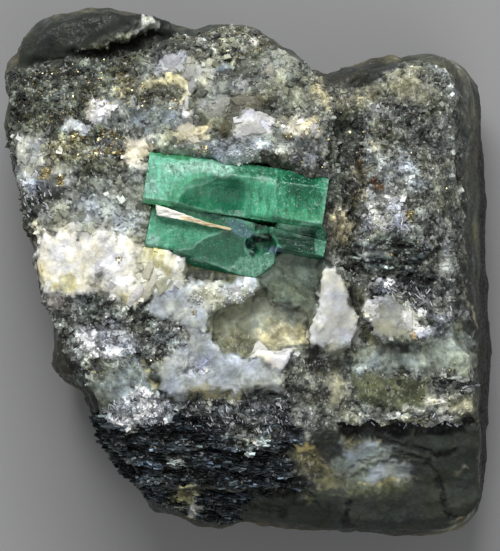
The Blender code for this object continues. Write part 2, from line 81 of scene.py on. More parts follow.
# What each stretch of the face is made of, painted one over another. Each row gives the colour as
# light shows it (0 to 255), how grainy, how finely layered and how glassy it is (0 to 1), how softly
# it ends (in millimetres), and its outline. Some rows paint shade instead: the top-left shoulder and
# the slate are painted darker for the shade of their depth, and the crack under the ledge and the rows
# whose names say shade and shadow are painted shade and shadow.
PAINTS = {
    "granular_rock": ((72, 77, 65), 1.0, 0.0, 0.1, 0.8, [
        (-31, 8), (-31, 26), (-27, 25.6), (-21, 26.6), (-16, 27.2), (-9, 29.2), (-5, 31), (2, 31), (8, 25.5),
        (12, 21), (9.5, 12), (-12, 12), (-14, 0), (-31, 0)]),
    # painted shade: the low top-left shoulder's dark shale is painted darker still, for the shade of its depth
    "shoulder": ((30, 33, 28), 0.15, 0.0, 0.0, 0.5, [
        (-31, 26.2), (-27, 25.4), (-24, 26.2), (-20, 26.4), (-16, 26.9), (-13.5, 27.4), (-11, 28.3), (-8, 29.2),
        (-7, 33), (-31, 33)]),
    "shoulder_ridge": ((112, 116, 102), 0.9, 0.0, 0.1, 0.5, [
        (-21.5, 26.9), (-19.5, 27.6), (-17, 28.9), (-14, 30.1), (-12.2, 30.9), (-11, 30.5), (-13, 29.7),
        (-16, 28.6), (-19, 27.2)]),
    "shoulder_patch": ((196, 200, 196), 0.3, 0.0, 0.2, 0.25, [
        (-14.8, 29.9), (-14, 30), (-12.6, 31), (-11.2, 30.7), (-11.4, 29.9), (-13, 29.9), (-14.6, 29.4)]),
    "pale_vein": ((118, 123, 112), 0.65, 0.0, 0.35, 0.9, [
        (-20.5, 20.2), (-17, 21.6), (-14, 24.4), (-11.5, 26.6), (-8, 27), (-5, 26.4), (-1, 26), (0.5, 29.2),
        (4, 27.5), (8.5, 24), (11.2, 21.2), (10, 16), (9.6, 12.5), (4, 13.5), (-4, 14.5), (-12.5, 15.5),
        (-13, 10), (-12, 3), (-20, 4), (-26, 6.2), (-24, 9), (-21, 10.8), (-14.5, 12.5), (-14, 17), (-18, 18.6)]),
    "salt_and_pepper": ((118, 121, 106), 1.2, 0.0, 0.1, 0.6, [
        (-8.4, 29.6), (-8, 27.2), (-6.2, 25.2), (-3, 24.6), (-0.6, 26.2), (-0.4, 28), (2.6, 29), (0, 31), (-6, 31)]),
    "crest_white": ((205, 205, 202), 0.4, 0.0, 0.3, 0.3, [(-0.6, 28.6), (0.2, 29.4), (1.2, 28.8), (0.6, 27.6)]),
    "blue_grain": ((140, 152, 156), 0.5, 0.0, 0.4, 0.4, [(-4.4, 24.6), (-4, 26), (-2.6, 26), (-2.2, 24.8), (-3.2, 24.2)]),
    "top_grey": ((142, 146, 132), 0.3, 0.0, 0.6, 0.4, [(3, 24.2), (3.2, 26), (4, 27.6), (6.2, 26.4), (6.4, 24.4), (4.8, 23.4)]),
    "grey_right_of_vein": ((142, 146, 128), 0.6, 0.0, 0.3, 0.8, [(2, 23.4), (7, 23), (7.6, 20.4), (3, 20)]),
    "olive_rim": ((186, 178, 140), 0.7, 0.0, 0.2, 0.6, [(7.4, 23.8), (9, 23.4), (11.8, 20.4), (10.6, 19.4), (8, 21.4)]),
    "yellow_streak": ((207, 202, 169), 0.2, 0.0, 0.2, 0.3, [
        (-13.6, 22.6), (-11.8, 23.4), (-9.4, 23.9), (-7.6, 23.6), (-7.7, 22.6), (-9.4, 23), (-11.6, 22.5), (-13, 22)]),
    "parallelogram": ((174, 176, 181), 0.1, 0.0, 0.6, 0.2, [(-11.8, 24.3), (-10.6, 26.4), (-8, 26.6), (-7.2, 25.6), (-9, 24.2)]),
    "pale_rhomb_left": ((172, 174, 162), 0.3, 0.0, 0.5, 0.4, [(-7.6, 26.4), (-4.6, 26), (-4.4, 22.4), (-7.4, 22.6)]),
    "dark_cap": ((84, 84, 72), 0.8, 0.0, 0.1, 0.5, [(-14.4, 21), (-12.6, 22), (-9.6, 22.3), (-8.1, 21), (-8.2, 20), (-10.4, 20.4), (-12.8, 20.4)]),
    "blue_white": ((111, 122, 127), 0.6, 0.0, 0.4, 0.5, [(-14.2, 20), (-11, 20.4), (-8.8, 19.6), (-8.9, 18.4), (-12, 17.8), (-14, 18.4)]),
    "white_seam": ((212, 212, 202), 0.2, 0.0, 0.4, 0.2, [(-8.1, 23), (-7.3, 23), (-7.2, 19), (-8, 18.6)]),
    "glassy_left": ((146, 150, 138), 0.15, 0.0, 0.8, 0.25, [(-6.2, 20.6), (-4.6, 21.6), (-2.6, 21.2), (-3, 18.7), (-5.2, 18.7)]),
    "smoky_quartz": ((104, 102, 86), 0.25, 0.0, 0.7, 0.3, [(-2.6, 20.2), (-2.2, 21.8), (1.6, 21.9), (1.8, 20.6), (-0.4, 19.9), (-1.8, 18.8)]),
    "smoky_gap": ((82, 80, 62), 0.3, 0.0, 0.5, 0.3, [(-3.2, 18.8), (-2, 19.6), (-1.8, 18), (-2.4, 16.6), (-4, 17)]),
    "cream_left": ((206, 198, 166), 0.4, 0.0, 0.3, 0.4, [(-9.2, 17.4), (-7.6, 18.5), (-5.2, 18.2), (-4.6, 16.4), (-6.4, 15.9), (-8.4, 16.4)]),
    "calcite_rhomb": ((187, 187, 187), 0.1, 0.0, 0.6, 0.15, [(-2, 18.4), (-0.3, 19.6), (0.8, 19.9), (2, 19.2), (3, 18.2), (2.5, 17.2), (0, 16.8), (-1.4, 16.7)]),
    "cream_right": ((176, 171, 146), 0.6, 0.0, 0.3, 0.5, [(3.4, 18.8), (5, 19.4), (8.4, 18.8), (9.8, 17.2), (8, 16.2), (4.6, 16.4)]),
    "druse": ((164, 172, 171), 0.55, 0.0, 0.4, 0.3, [
        (-9, 15.6), (-6, 16.2), (-2, 16.5), (3.6, 16.4), (5.2, 15.2), (4, 14.2), (2.4, 14.6), (0.6, 13.6),
        (-1.2, 13.2), (-3, 13.7), (-5, 14.4), (-8.6, 14.8)]),
    "dark_hollow": ((64, 66, 56), 0.5, 0.0, 0.1, 0.3, [(0.4, 14), (1.8, 14.8), (3, 14.6), (5.2, 13.6), (5.4, 12.6), (0.6, 12.6)]),
    "bluish_granular": ((120, 126, 130), 0.9, 0.0, 0.3, 0.4, [(5.4, 14.2), (7, 14.8), (9.6, 14), (9.7, 12), (5.4, 12.4)]),
    "cream_beside_crystal": ((204, 196, 172), 0.3, 0.0, 0.4, 0.8, [(-15.2, 16.2), (-12.4, 16.6), (-11.8, 15), (-13, 12.6), (-15, 13.2)]),
    "left_cream": ((154, 157, 150), 0.5, 0.0, 0.3, 0.8, [(-28.6, 17), (-25.2, 16.8), (-24.4, 13.4), (-20.8, 12.6), (-21.6, 10.8), (-25, 11), (-28.4, 11.4)]),
    "blue_white_left": ((169, 175, 175), 0.7, 0.0, 0.3, 0.5, [(-28.4, 11.8), (-26, 12.2), (-24.8, 10.8), (-27, 9.8)]),
    "white_clot": ((214, 212, 202), 0.5, 0.0, 0.3, 0.4, [(-20.2, 18.8), (-19.4, 21), (-17.6, 21.3), (-16.4, 20), (-17.6, 18.8)]),
    "lilac_clot": ((172, 178, 182), 0.5, 0.0, 0.3, 0.4, [(-22.2, 17.4), (-21.6, 19.4), (-20.2, 19), (-19.8, 17.2), (-21, 16.8)]),
    "yellow_vein": ((124, 122, 98), 0.9, 0.0, 0.1, 0.6, [(-16.4, 21.6), (-15.8, 24), (-14.6, 24.8), (-13.6, 24), (-14.8, 21.4)]),
    "yellow_grains": ((178, 180, 146), 1.1, 0.0, 0.1, 0.8, [(-25, 16.4), (-20, 16.4), (-18.6, 14.2), (-22, 13.6), (-25, 14.2)]),
    "ring_quartz": ((116, 124, 126), 0.7, 0.0, 0.3, 0.5, [(-18.4, 15.6), (-17.4, 16.8), (-16.2, 16.6), (-15.6, 15.2), (-16.6, 14.2), (-18, 14.4)]),
    "dark_recess": ((70, 74, 64), 0.6, 0.0, 0.2, 0.6, [(-27.4, 10), (-24, 10), (-22.4, 9.4), (-24, 8.2), (-26.4, 7.6)]),
    "grey_green_quartz": ((143, 147, 134), 0.55, 0.0, 0.5, 0.6, [(-24.4, 8.8), (-21, 9.4), (-19, 8.6), (-19, 6.4), (-22, 6), (-25, 6.4)]),
    "blue_streaks": ((178, 186, 184), 0.4, 0.0, 0.4, 0.7, [(-19.6, 9.4), (-15, 9.8), (-13.2, 7.6), (-13.6, 4.8), (-17, 6), (-19.6, 6.4)]),
    "white_calcite": ((222, 220, 210), 0.2, 0.0, 0.3, 0.8, [
        (-26, 6.5), (-25.5, 5), (-24, 5.5), (-21.5, 5.8), (-20, 4.5), (-18, 5.8), (-16.5, 5), (-14.5, 4),
        (-13.5, 3.5), (-13.3, 1.5), (-13.8, 0), (-14, -1.5), (-12.3, -2.5), (-13, -3.8), (-15, -4), (-16, -3),
        (-17, -1.8), (-18.2, 0), (-19, -1.8), (-20.2, -2.5), (-22, -3), (-23.5, -2), (-25.2, -1.5),
        (-26.2, 0.3), (-26.4, 3)]),
    "stain_left": ((220, 210, 168), 0.2, 0.0, 0.2, 0.6, [(-25.6, 1.4), (-24.4, 1), (-23.9, -0.6), (-25, -1.2)]),
    "stain_low": ((204, 196, 146), 0.3, 0.0, 0.2, 0.7, [(-23.6, -0.8), (-21.4, 0.4), (-20.4, -0.6), (-21.4, -2.6), (-23, -1.8)]),
    "stain_right": ((212, 204, 160), 0.3, 0.0, 0.2, 0.6, [(-15.8, -1.8), (-14.4, -1.4), (-14.2, -3.4), (-15.6, -3.6)]),
    "stain_middle": ((232, 226, 196), 0.15, 0.0, 0.2, 1.0, [(-22.6, 3.4), (-20.4, 3.2), (-20.4, 1.6), (-22.6, 1.8)]),
    "smudge": ((168, 166, 152), 0.4, 0.0, 0.2, 0.8, [(-18.9, 0.4), (-17.6, 0.6), (-16.8, -1.6), (-17.8, -2.6), (-19.2, -1.6)]),
    "dark_granular": ((134, 142, 138), 1.3, 0.1, 0.1, 0.6, [
        (-25.6, -2.4), (-22, -3), (-20.2, -2.4), (-18.4, -1.9), (-16.6, -3), (-14, -4.2), (-12.4, -3.2), (-9.8, -5.2),
        (-9.6, -10), (-11.4, -11.2), (-17, -11.4), (-19.8, -12.8), (-21.6, -13.4), (-25, -12)]),
    "darkest": ((116, 125, 121), 1.2, 0.1, 0.0, 0.5, [(-20.4, -2.4), (-18.4, -2), (-16.6, -3.6), (-15.6, -5.8), (-18, -6.2), (-20.2, -5)]),
    "purple_grey": ((132, 128, 122), 0.7, 0.0, 0.2, 0.6, [(-25.4, -2.2), (-22.4, -2.6), (-22, -4.2), (-24.4, -4.6)]),
    "sparkle_band": ((240, 246, 252), 0.95, 0.0, 0.3, 0.6, [(-20.4, -6), (-15.6, -6.2), (-13.6, -7), (-13.4, -8.6), (-17, -9.6), (-19.8, -8.6)]),
    "brown_bump": ((50, 49, 42), 0.3, 0.2, 0.1, 0.4, [(-25, -7.4), (-22.6, -7.6), (-21.4, -9.4), (-21.2, -12.8), (-25, -13)]),
    "low_green_quartz": ((120, 129, 122), 0.45, 0.0, 0.4, 1.4, [(-18.8, -11.4), (-12.6, -10.6), (-11, -13.6), (-12.4, -15.4), (-17.4, -15.6)]),
    "flaky_calcite": ((208, 208, 192), 0.15, 0.0, 0.4, 0.45, [
        (-13, 3.2), (-11.2, 3.2), (-9, 3.2), (-8.6, 2.4), (-7.1, 2), (-7.4, 0.8), (-8, 0), (-7.9, -1.3),
        (-10, -1.8), (-11, -2.6), (-12.5, -3.4), (-14, -2)]),
    "flake_olive": ((170, 166, 122), 0.3, 0.0, 0.3, 0.4, [(-12.4, 3), (-11.4, 3.1), (-10.2, 1.2), (-9.8, 0), (-11.4, 0.8)]),
    "grey_quartz": ((158, 164, 165), 0.22, 0.0, 0.5, 0.5, [
        (-11.6, -2.4), (-9.6, -1.6), (-7.6, -0.6), (-3, -0.6), (2, -1.1), (0.4, -2.4), (-1.6, -3.8), (-4, -4.2),
        (-5.2, -4.4), (-4.2, -8), (-1.6, -9.2), (0.6, -9.8), (4.2, -11), (4.2, -13.8), (-1, -14.4), (-9.6, -14.8),
        (-11.4, -12), (-10, -8), (-11.4, -5)]),
    "pale_under_tongue": ((188, 192, 184), 0.25, 0.0, 0.4, 0.8, [(-8, -0.8), (-3, -0.8), (-0.6, -2.2), (-3.6, -4.2), (-8, -3.8)]),
    "white_tongue": ((200, 204, 200), 0.25, 0.0, 0.6, 0.3, [(-2.8, -1.2), (-0.6, -0.9), (0.4, -1.6), (-0.8, -2.6), (-1.6, -3.4), (-2.6, -2.4)]),
    "grey_granular": ((116, 123, 119), 1.2, 0.0, 0.2, 0.7, [(-11.8, -5.4), (-8.4, -5.6), (-7.4, -7.4), (-9.4, -9.4), (-12, -9.2)]),
    "blue_sparkle": ((182, 188, 202), 0.6, 0.0, 0.4, 0.9, [(-8.2, -9.8), (-5.6, -10), (-5.2, -11.8), (-7.6, -11.8)]),
    "olive_band": ((142, 140, 112), 0.35, 0.0, 0.4, 0.6, [(-7.4, -13.6), (-3.6, -13.4), (-0.6, -14.2), (-1, -15.4), (-7.6, -15.4)]),
    "lip_shade": ((84, 88, 58), 0.1, 0.0, 0.3, 0.4, [
        (-7.6, 2.4), (-6.8, 1.6), (0.6, 0), (2, -0.6), (2.3, -1.2), (0, -1.1), (-3.1, -0.9), (-3.3, -0.1), (-6.6, 0.1), (-7.6, 0.8)]),
    "hollow": ((140, 145, 126), 0.2, 0.0, 0.5, 1.2, [
        (-4.6, -4.8), (-3.4, -4), (-1.8, -3.6), (-0.4, -2.4), (1.4, -1.8), (3.4, -2.8), (7.4, -3.6), (7, -6.6),
        (6, -8.6), (1.6, -8.8), (0.6, -8.8), (-1.6, -9), (-3.8, -8.2)]),
    "hollow_green": ((138, 138, 104), 0.5, 0.0, 0.4, 0.7, [(-3, -7.4), (-1.4, -6.8), (0.2, -7.6), (-0.6, -9.2), (-2.8, -8.8)]),
    "grey_step": ((98, 110, 98), 0.28, 0.0, 0.5, 0.9, [(1.6, 1), (4.2, 2.6), (8.7, 2.2), (8.3, -2.2), (7, -3.6), (3.4, -2.8), (1.4, -1.8)]),
    "yellow_floor": ((198, 192, 156), 0.4, 0.0, 0.4, 0.5, [(0.8, -6.4), (3.4, -5.8), (6.8, -6), (6.6, -8), (5, -8.6), (1.8, -8.2)]),
    "cream_crescent": ((212, 210, 206), 0.0, 0.0, 0.3, 0.15, [
        (0.2, -9.4), (0.7, -8.6), (1, -7.8), (1.7, -8.8), (3, -9.2), (4.5, -9.2), (5.5, -8.9), (5, -9.4), (4.5, -10),
        (3.9, -10.9), (2.8, -10.8), (1.5, -10.3)]),
    "right_granular": ((110, 115, 107), 1.0, 0.0, 0.15, 0.6, [
        (9.6, 22.6), (12, 22.4), (16, 24.4), (19, 26.2), (24, 25.6), (26, 22), (25.8, 0), (26, -18), (12, -18),
        (9.8, 4)]),
    "channel": ((80, 86, 77), 1.1, 0.0, 0.1, 0.5, [(9.6, 20), (13.4, 20.4), (13.4, 12), (12.8, 4), (9.8, 3), (9.5, 12)]),
    "rust_upper": ((78, 58, 30), 0.6, 0.0, 0.1, 0.3, [(12.7, 13.9), (13.3, 14.6), (14.2, 14), (13.6, 13)]),
    "channel_brown": ((146, 140, 114), 0.7, 0.0, 0.2, 0.6, [(9.9, 8.4), (11.6, 8.2), (12.8, 6.2), (12, 4.2), (9.9, 4.6)]),
    "channel_olive": ((124, 118, 86), 0.6, 0.0, 0.2, 0.5, [(12.4, 13.4), (14, 13), (13.6, 8), (12.6, 8)]),
    "top_band": ((134, 132, 108), 0.8, 0.0, 0.15, 0.7, [(9.6, 21.4), (13.4, 22.4), (15.8, 24), (15.8, 21), (12, 20.2), (10, 20)]),
    "top_band_right": ((132, 132, 113), 0.6, 0.0, 0.2, 0.7, [(16.6, 25), (20, 25.6), (22, 23.6), (21, 21), (17, 20.6)]),
    "notch_wall": ((46, 47, 41), 0.2, 0.2, 0.0, 0.3, [(9.2, 23.3), (11.4, 22.6), (14, 23.1), (16, 24.9), (17, 27), (9, 26.4)]),
    "top_right_rim": ((76, 78, 70), 0.3, 0.1, 0.1, 0.6, [(19, 25.9), (24, 25.2), (25.4, 22), (25.2, 18), (30, 18), (28, 28), (19, 28)]),
    "dark_upper_right": ((68, 72, 67), 1.1, 0.0, 0.1, 0.8, [(16.6, 20.6), (22.4, 20.6), (23.6, 18), (21, 17.4), (17, 17.8)]),
    "grey_rim": ((100, 104, 98), 0.7, 0.1, 0.1, 0.7, [(22.8, 20), (24.4, 20), (25, 8), (24.8, -8), (23, 4), (22.4, 12)]),
    "white_granular": ((184, 188, 189), 0.9, 0.0, 0.3, 0.5, [(14, 10.2), (16.4, 10), (18.6, 9.6), (19.2, 7.4), (18.6, 5.2), (16, 5.6), (13.3, 5.4), (13.6, 8)]),
    "grey_granular_right": ((140, 146, 142), 0.9, 0.0, 0.2, 0.8, [(14.4, 15.4), (19, 15.6), (20.2, 12), (19.8, 10), (15, 10.4)]),
    "rust_lower": ((70, 48, 24), 0.6, 0.0, 0.1, 0.3, [(14.3, 11.9), (15.2, 11.7), (15.8, 10.6), (16.3, 10), (15.1, 10), (14.5, 10.8)]),
    "bedded": ((76, 86, 83), 0.8, 0.55, 0.1, 0.5, [(12, 4), (16, 4.6), (20, 4.4), (22.8, 3.4), (21.4, 0.8), (17, 0), (12.4, 0.6)]),
    "bedded_glint": ((112, 118, 118), 0.6, 0.45, 0.3, 0.3, [(12.2, 3.2), (14.4, 3.6), (18, 2.3), (14, 2.2)]),
    "speckled": ((84, 88, 92), 2.0, 0.0, 0.3, 0.4, [(14.6, -0.4), (18.2, -0.5), (20.4, 0.4), (18, -1.8), (14.8, -2.4)]),
    "dark_right": ((66, 69, 66), 0.8, 0.3, 0.1, 0.6, [(18.4, -0.6), (24.6, 1), (25, -3), (20.6, -3.4), (18.6, -2.6)]),
    "pale_edge_streaks": ((134, 138, 130), 0.6, 0.5, 0.2, 0.5, [(22.8, 1.2), (24.4, 7), (25, 6), (24.6, 1), (23.2, -0.4)]),
    "layered_light": ((136, 140, 140), 0.8, 0.5, 0.2, 0.5, [(20, -2.8), (24.8, -2.2), (25, -5), (22.4, -5.6), (20.2, -4.8)]),
    "light_slab": ((174, 175, 171), 0.06, 0.0, 0.5, 0.2, [
        (9, 0.6), (8.3, -1.5), (8.2, -3), (7.6, -4), (7.4, -5.5), (7, -7), (6.5, -8.3), (8, -9), (9.5, -10),
        (11, -9.2), (12, -8.8), (13, -8), (13.3, -6.5), (13, -5.5), (12.2, -4.5), (11.8, -3.5), (11.9, -2),
        (11.5, -0.5), (10.5, 0.8)]),
    "slab_foot": ((140, 142, 130), 0.4, 0.0, 0.5, 0.6, [(8.4, -8.2), (11, -8), (12.6, -8.4), (10.8, -9.6), (9.4, -10.2)]),
    "gap_shade": ((66, 68, 52), 0.3, 0.0, 0.2, 0.3, [(12, -1.2), (14, -1), (14.2, -2.4), (13.2, -4), (12.9, -4.9), (12.2, -4), (11.9, -2.6)]),
    "lump_white": ((214, 214, 208), 0.35, 0.0, 0.4, 0.3, [(13.2, -3.8), (14.3, -2.4), (16, -2.3), (16.2, -4.6), (15, -5.4), (13.6, -4.8)]),
    "lump_shade": ((92, 92, 78), 0.3, 0.0, 0.3, 0.5, [(16.4, -2), (18, -2), (20.2, -3.2), (19, -4), (17.6, -2.9), (16.2, -2.7)]),
    "lump_cream": ((131, 132, 120), 0.08, 0.0, 0.5, 0.4, [(15.6, -2.5), (17.5, -2.6), (19, -3.8), (19.4, -6.6), (18.6, -7.9), (16.2, -7.8), (14.6, -6), (15.4, -4.8)]),
    "lump_white_right": ((206, 206, 202), 0.2, 0.0, 0.5, 0.3, [(18.3, -4.4), (19.4, -4), (20.1, -6), (19.2, -7.2), (18.3, -6)]),
    "orange_stain": ((186, 156, 104), 0.2, 0.0, 0.2, 0.3, [(19.4, -6.6), (20.2, -6.5), (20.2, -7.4), (19.6, -7.3)]),
    "lump_blue": ((186, 190, 196), 0.4, 0.0, 0.4, 0.3, [(20.4, -6.2), (22.6, -6), (21.6, -7.3), (20.6, -7.5)]),
    "olive_under_lump": ((108, 108, 78), 0.4, 0.0, 0.3, 0.5, [(13.6, -5.8), (15.4, -7.8), (16, -8.4), (14.6, -8.2), (13.2, -7)]),
    "shelf": ((148, 158, 148), 0.35, 0.0, 0.4, 1.0, [(12.2, -8.6), (16, -8.2), (20, -8), (25.6, -6.4), (27.4, -9), (26.4, -12), (20, -11.8), (12, -11.4)]),
    "shelf_shadow": ((42, 46, 44), 0.0, 0.0, 0.3, 0.4, [(15.8, -8.3), (19.6, -8.2), (20, -9), (18.4, -9.4), (16.6, -8.9)]),
    "olive_shelf": ((80, 85, 63), 0.45, 0.0, 0.3, 0.8, [(12, -11.6), (18, -11.8), (22, -12.4), (21, -15.6), (15, -16.4), (12.4, -15)]),
    "granular_foot": ((120, 124, 113), 0.8, 0.1, 0.2, 0.6, [(4.2, -11.4), (6.4, -9.2), (8.6, -10), (11, -10.4), (12.2, -14), (12.6, -18.4), (6, -20), (4, -16)]),
    "foot_dark": ((50, 52, 48), 0.8, 0.0, 0.1, 0.5, [(6.6, -9), (8.4, -9), (9.2, -10.8), (8.2, -12), (6.8, -11)]),
    "foot_dark_low": ((52, 55, 52), 0.9, 0.1, 0.1, 0.6, [(4, -13), (7, -13), (7.4, -14.6), (5, -14.8)]),
    "foot_cream": ((150, 148, 122), 0.4, 0.0, 0.4, 0.6, [(8.6, -12.2), (10.8, -11.8), (11.4, -14.6), (10.6, -15.8), (9.6, -14)]),
    "white_band": ((196, 196, 184), 0.4, 0.3, 0.3, 0.4, [(18.6, -16), (20.4, -15.8), (21.6, -14.4), (23.6, -14.2), (23.8, -14.8), (21.4, -15.6), (19.4, -16.4)]),
    "white_lumps": ((160, 160, 140), 0.6, 0.1, 0.3, 0.6, [(22.8, -15), (26.6, -14.8), (27.4, -16.6), (24.4, -17.4), (22.6, -16.2)]),
    "layered_right": ((92, 96, 94), 0.6, 0.7, 0.2, 0.6, [(21.8, -12), (27.2, -12), (27.6, -14), (22.4, -14)]),
    "pale_layers": ((150, 152, 140), 0.7, 0.6, 0.2, 0.35, [(12.4, -17), (18, -16.9), (25, -17.2), (25, -18.2), (18, -18.4), (13, -18)]),
    "shale": ((44, 51, 55), 0.8, 1.0, 0.1, 0.6, [
        (-20, -15.4), (-17.8, -16), (-9.8, -15.2), (-7, -15.4), (-1.6, -15), (4, -14.6), (6, -19.6), (5, -24), (9, -26.6),
        (0, -31), (-14, -31), (-20, -24)]),
    "shale_top": ((104, 110, 110), 1.3, 0.4, 0.2, 0.6, [(-9.4, -15.2), (-5, -14.8), (4, -15), (5, -17.4), (-2, -18), (-9, -17)]),
    "needles": ((224, 235, 241), 1.3, 0.1, 0.3, 0.5, [(-17.6, -16.2), (-16, -15.4), (-13, -13.8), (-9.6, -15.4), (-9.8, -17.4), (-13, -18), (-16.6, -17.8)]),
    "shale_grey": ((108, 117, 116), 1.2, 0.4, 0.2, 0.7, [(-4, -18), (4.6, -17.6), (5, -20.6), (1, -21), (-3.6, -19.8)]),
    "shale_glints": ((129, 140, 139), 0.6, 0.9, 0.3, 0.4, [(-10.8, -22), (-7.6, -21.8), (-7.6, -23.4), (-10, -23)]),
    "yellow_low_left": ((158, 154, 108), 0.5, 0.2, 0.2, 0.4, [(-9.6, -27.2), (-8, -26.2), (-6.2, -26.8), (-6, -28), (-8.6, -28)]),
    "white_low_left": ((178, 178, 168), 0.5, 0.1, 0.3, 0.35, [(-8, -28.2), (-6.2, -27.9), (-5.8, -29), (-7.2, -29.6)]),
    # painted shade: the dark slate low on the right is painted darker, for the shade of its depth
    "slate": ((42, 47, 40), 0.12, 0.0, 0.15, 0.7, [
        (8, -25.4), (12, -25.6), (20, -25.4), (19, -19), (12, -18.6), (13, -18.2), (30, -17.6), (30, -33), (-2, -33),
        (-1, -29), (0, -26.8)]),
    # painted shadow: the black crack under the ledge, painted as the shadow of the ledge's step
    "ledge_crack_shadow": ((16, 17, 16), 0.1, 0.2, 0.0, 0.3, [(12, -18.1), (17, -18.4), (24.6, -18.1), (24.8, -18.6), (18, -19.4), (11, -18.9)]),
    "milky_vein": ((134, 145, 138), 0.2, 0.0, 0.4, 0.8, [
        (11, -19.6), (13.6, -19.8), (16.6, -21), (16.6, -22.4), (18.4, -23.4), (18.2, -25), (14, -25.6), (9, -25),
        (9.6, -23.6), (11.6, -22)]),
    "milky_blue": ((146, 155, 156), 0.12, 0.0, 0.4, 0.7, [(12, -20.4), (14.2, -20.2), (15.6, -21), (13.6, -22.8), (11.8, -22.6)]),
    "milky_white": ((158, 166, 166), 0.12, 0.0, 0.4, 0.6, [(14.4, -23.4), (17.4, -22.6), (18, -24.2), (14.6, -25)]),
    "vein_margin": ((108, 106, 78), 0.3, 0.0, 0.2, 0.9, [(8.6, -23.8), (12, -24.2), (13, -24.8), (11, -25.6), (9, -25.4)]),
    "vein_margin_top": ((120, 116, 84), 0.3, 0.0, 0.2, 0.4, [(11, -18.9), (13, -19.9), (16, -20.6), (13.6, -20.4), (11.4, -20.8)]),
    "vein_margin_low": ((82, 86, 66), 0.3, 0.0, 0.2, 1.1, [
        (11.6, -24.9), (15, -25.1), (18.2, -24.2), (19.8, -24.6), (19.2, -25.6), (16, -26), (12.4, -26)]),
    "milky_end": ((138, 144, 136), 0.2, 0.0, 0.4, 0.6, [(16.6, -22.6), (18.6, -22.9), (19.6, -24.2), (17.6, -24.8)]),
    "bright_yellow": ((186, 172, 118), 0.2, 0.0, 0.2, 0.4, [(5.6, -20.8), (6.8, -20), (7.7, -20.4), (6.9, -21.4), (5.8, -21.5)]),
    "yellow_green": ((122, 118, 86), 0.6, 0.0, 0.2, 0.7, [(5.4, -21.4), (8.4, -21.4), (9.6, -23.4), (7, -23.6), (5.6, -22.6)]),
    "slate_spot": ((96, 96, 80), 0.3, 0.0, 0.2, 0.3, [(24, -24), (25.8, -23), (26, -23.4), (24.6, -24.4)]),
    "slate_green": ((92, 94, 72), 0.4, 0.2, 0.2, 0.5, [(5.8, -26.4), (7.8, -26.4), (7.6, -27.6), (6.2, -27.6)]),
}

# The rock's sides and back: their colours and traits, and the colour of the calcite behind the crystals.
SIDE_COLOUR = (54, 57, 52)
SIDE_BROWN = (74, 71, 58)
WALL_STREAK = (126, 128, 112)
SIDE_TRAITS = (0.2, 0.2, 0.1)
SEAT_COLOUR = (214, 226, 212)
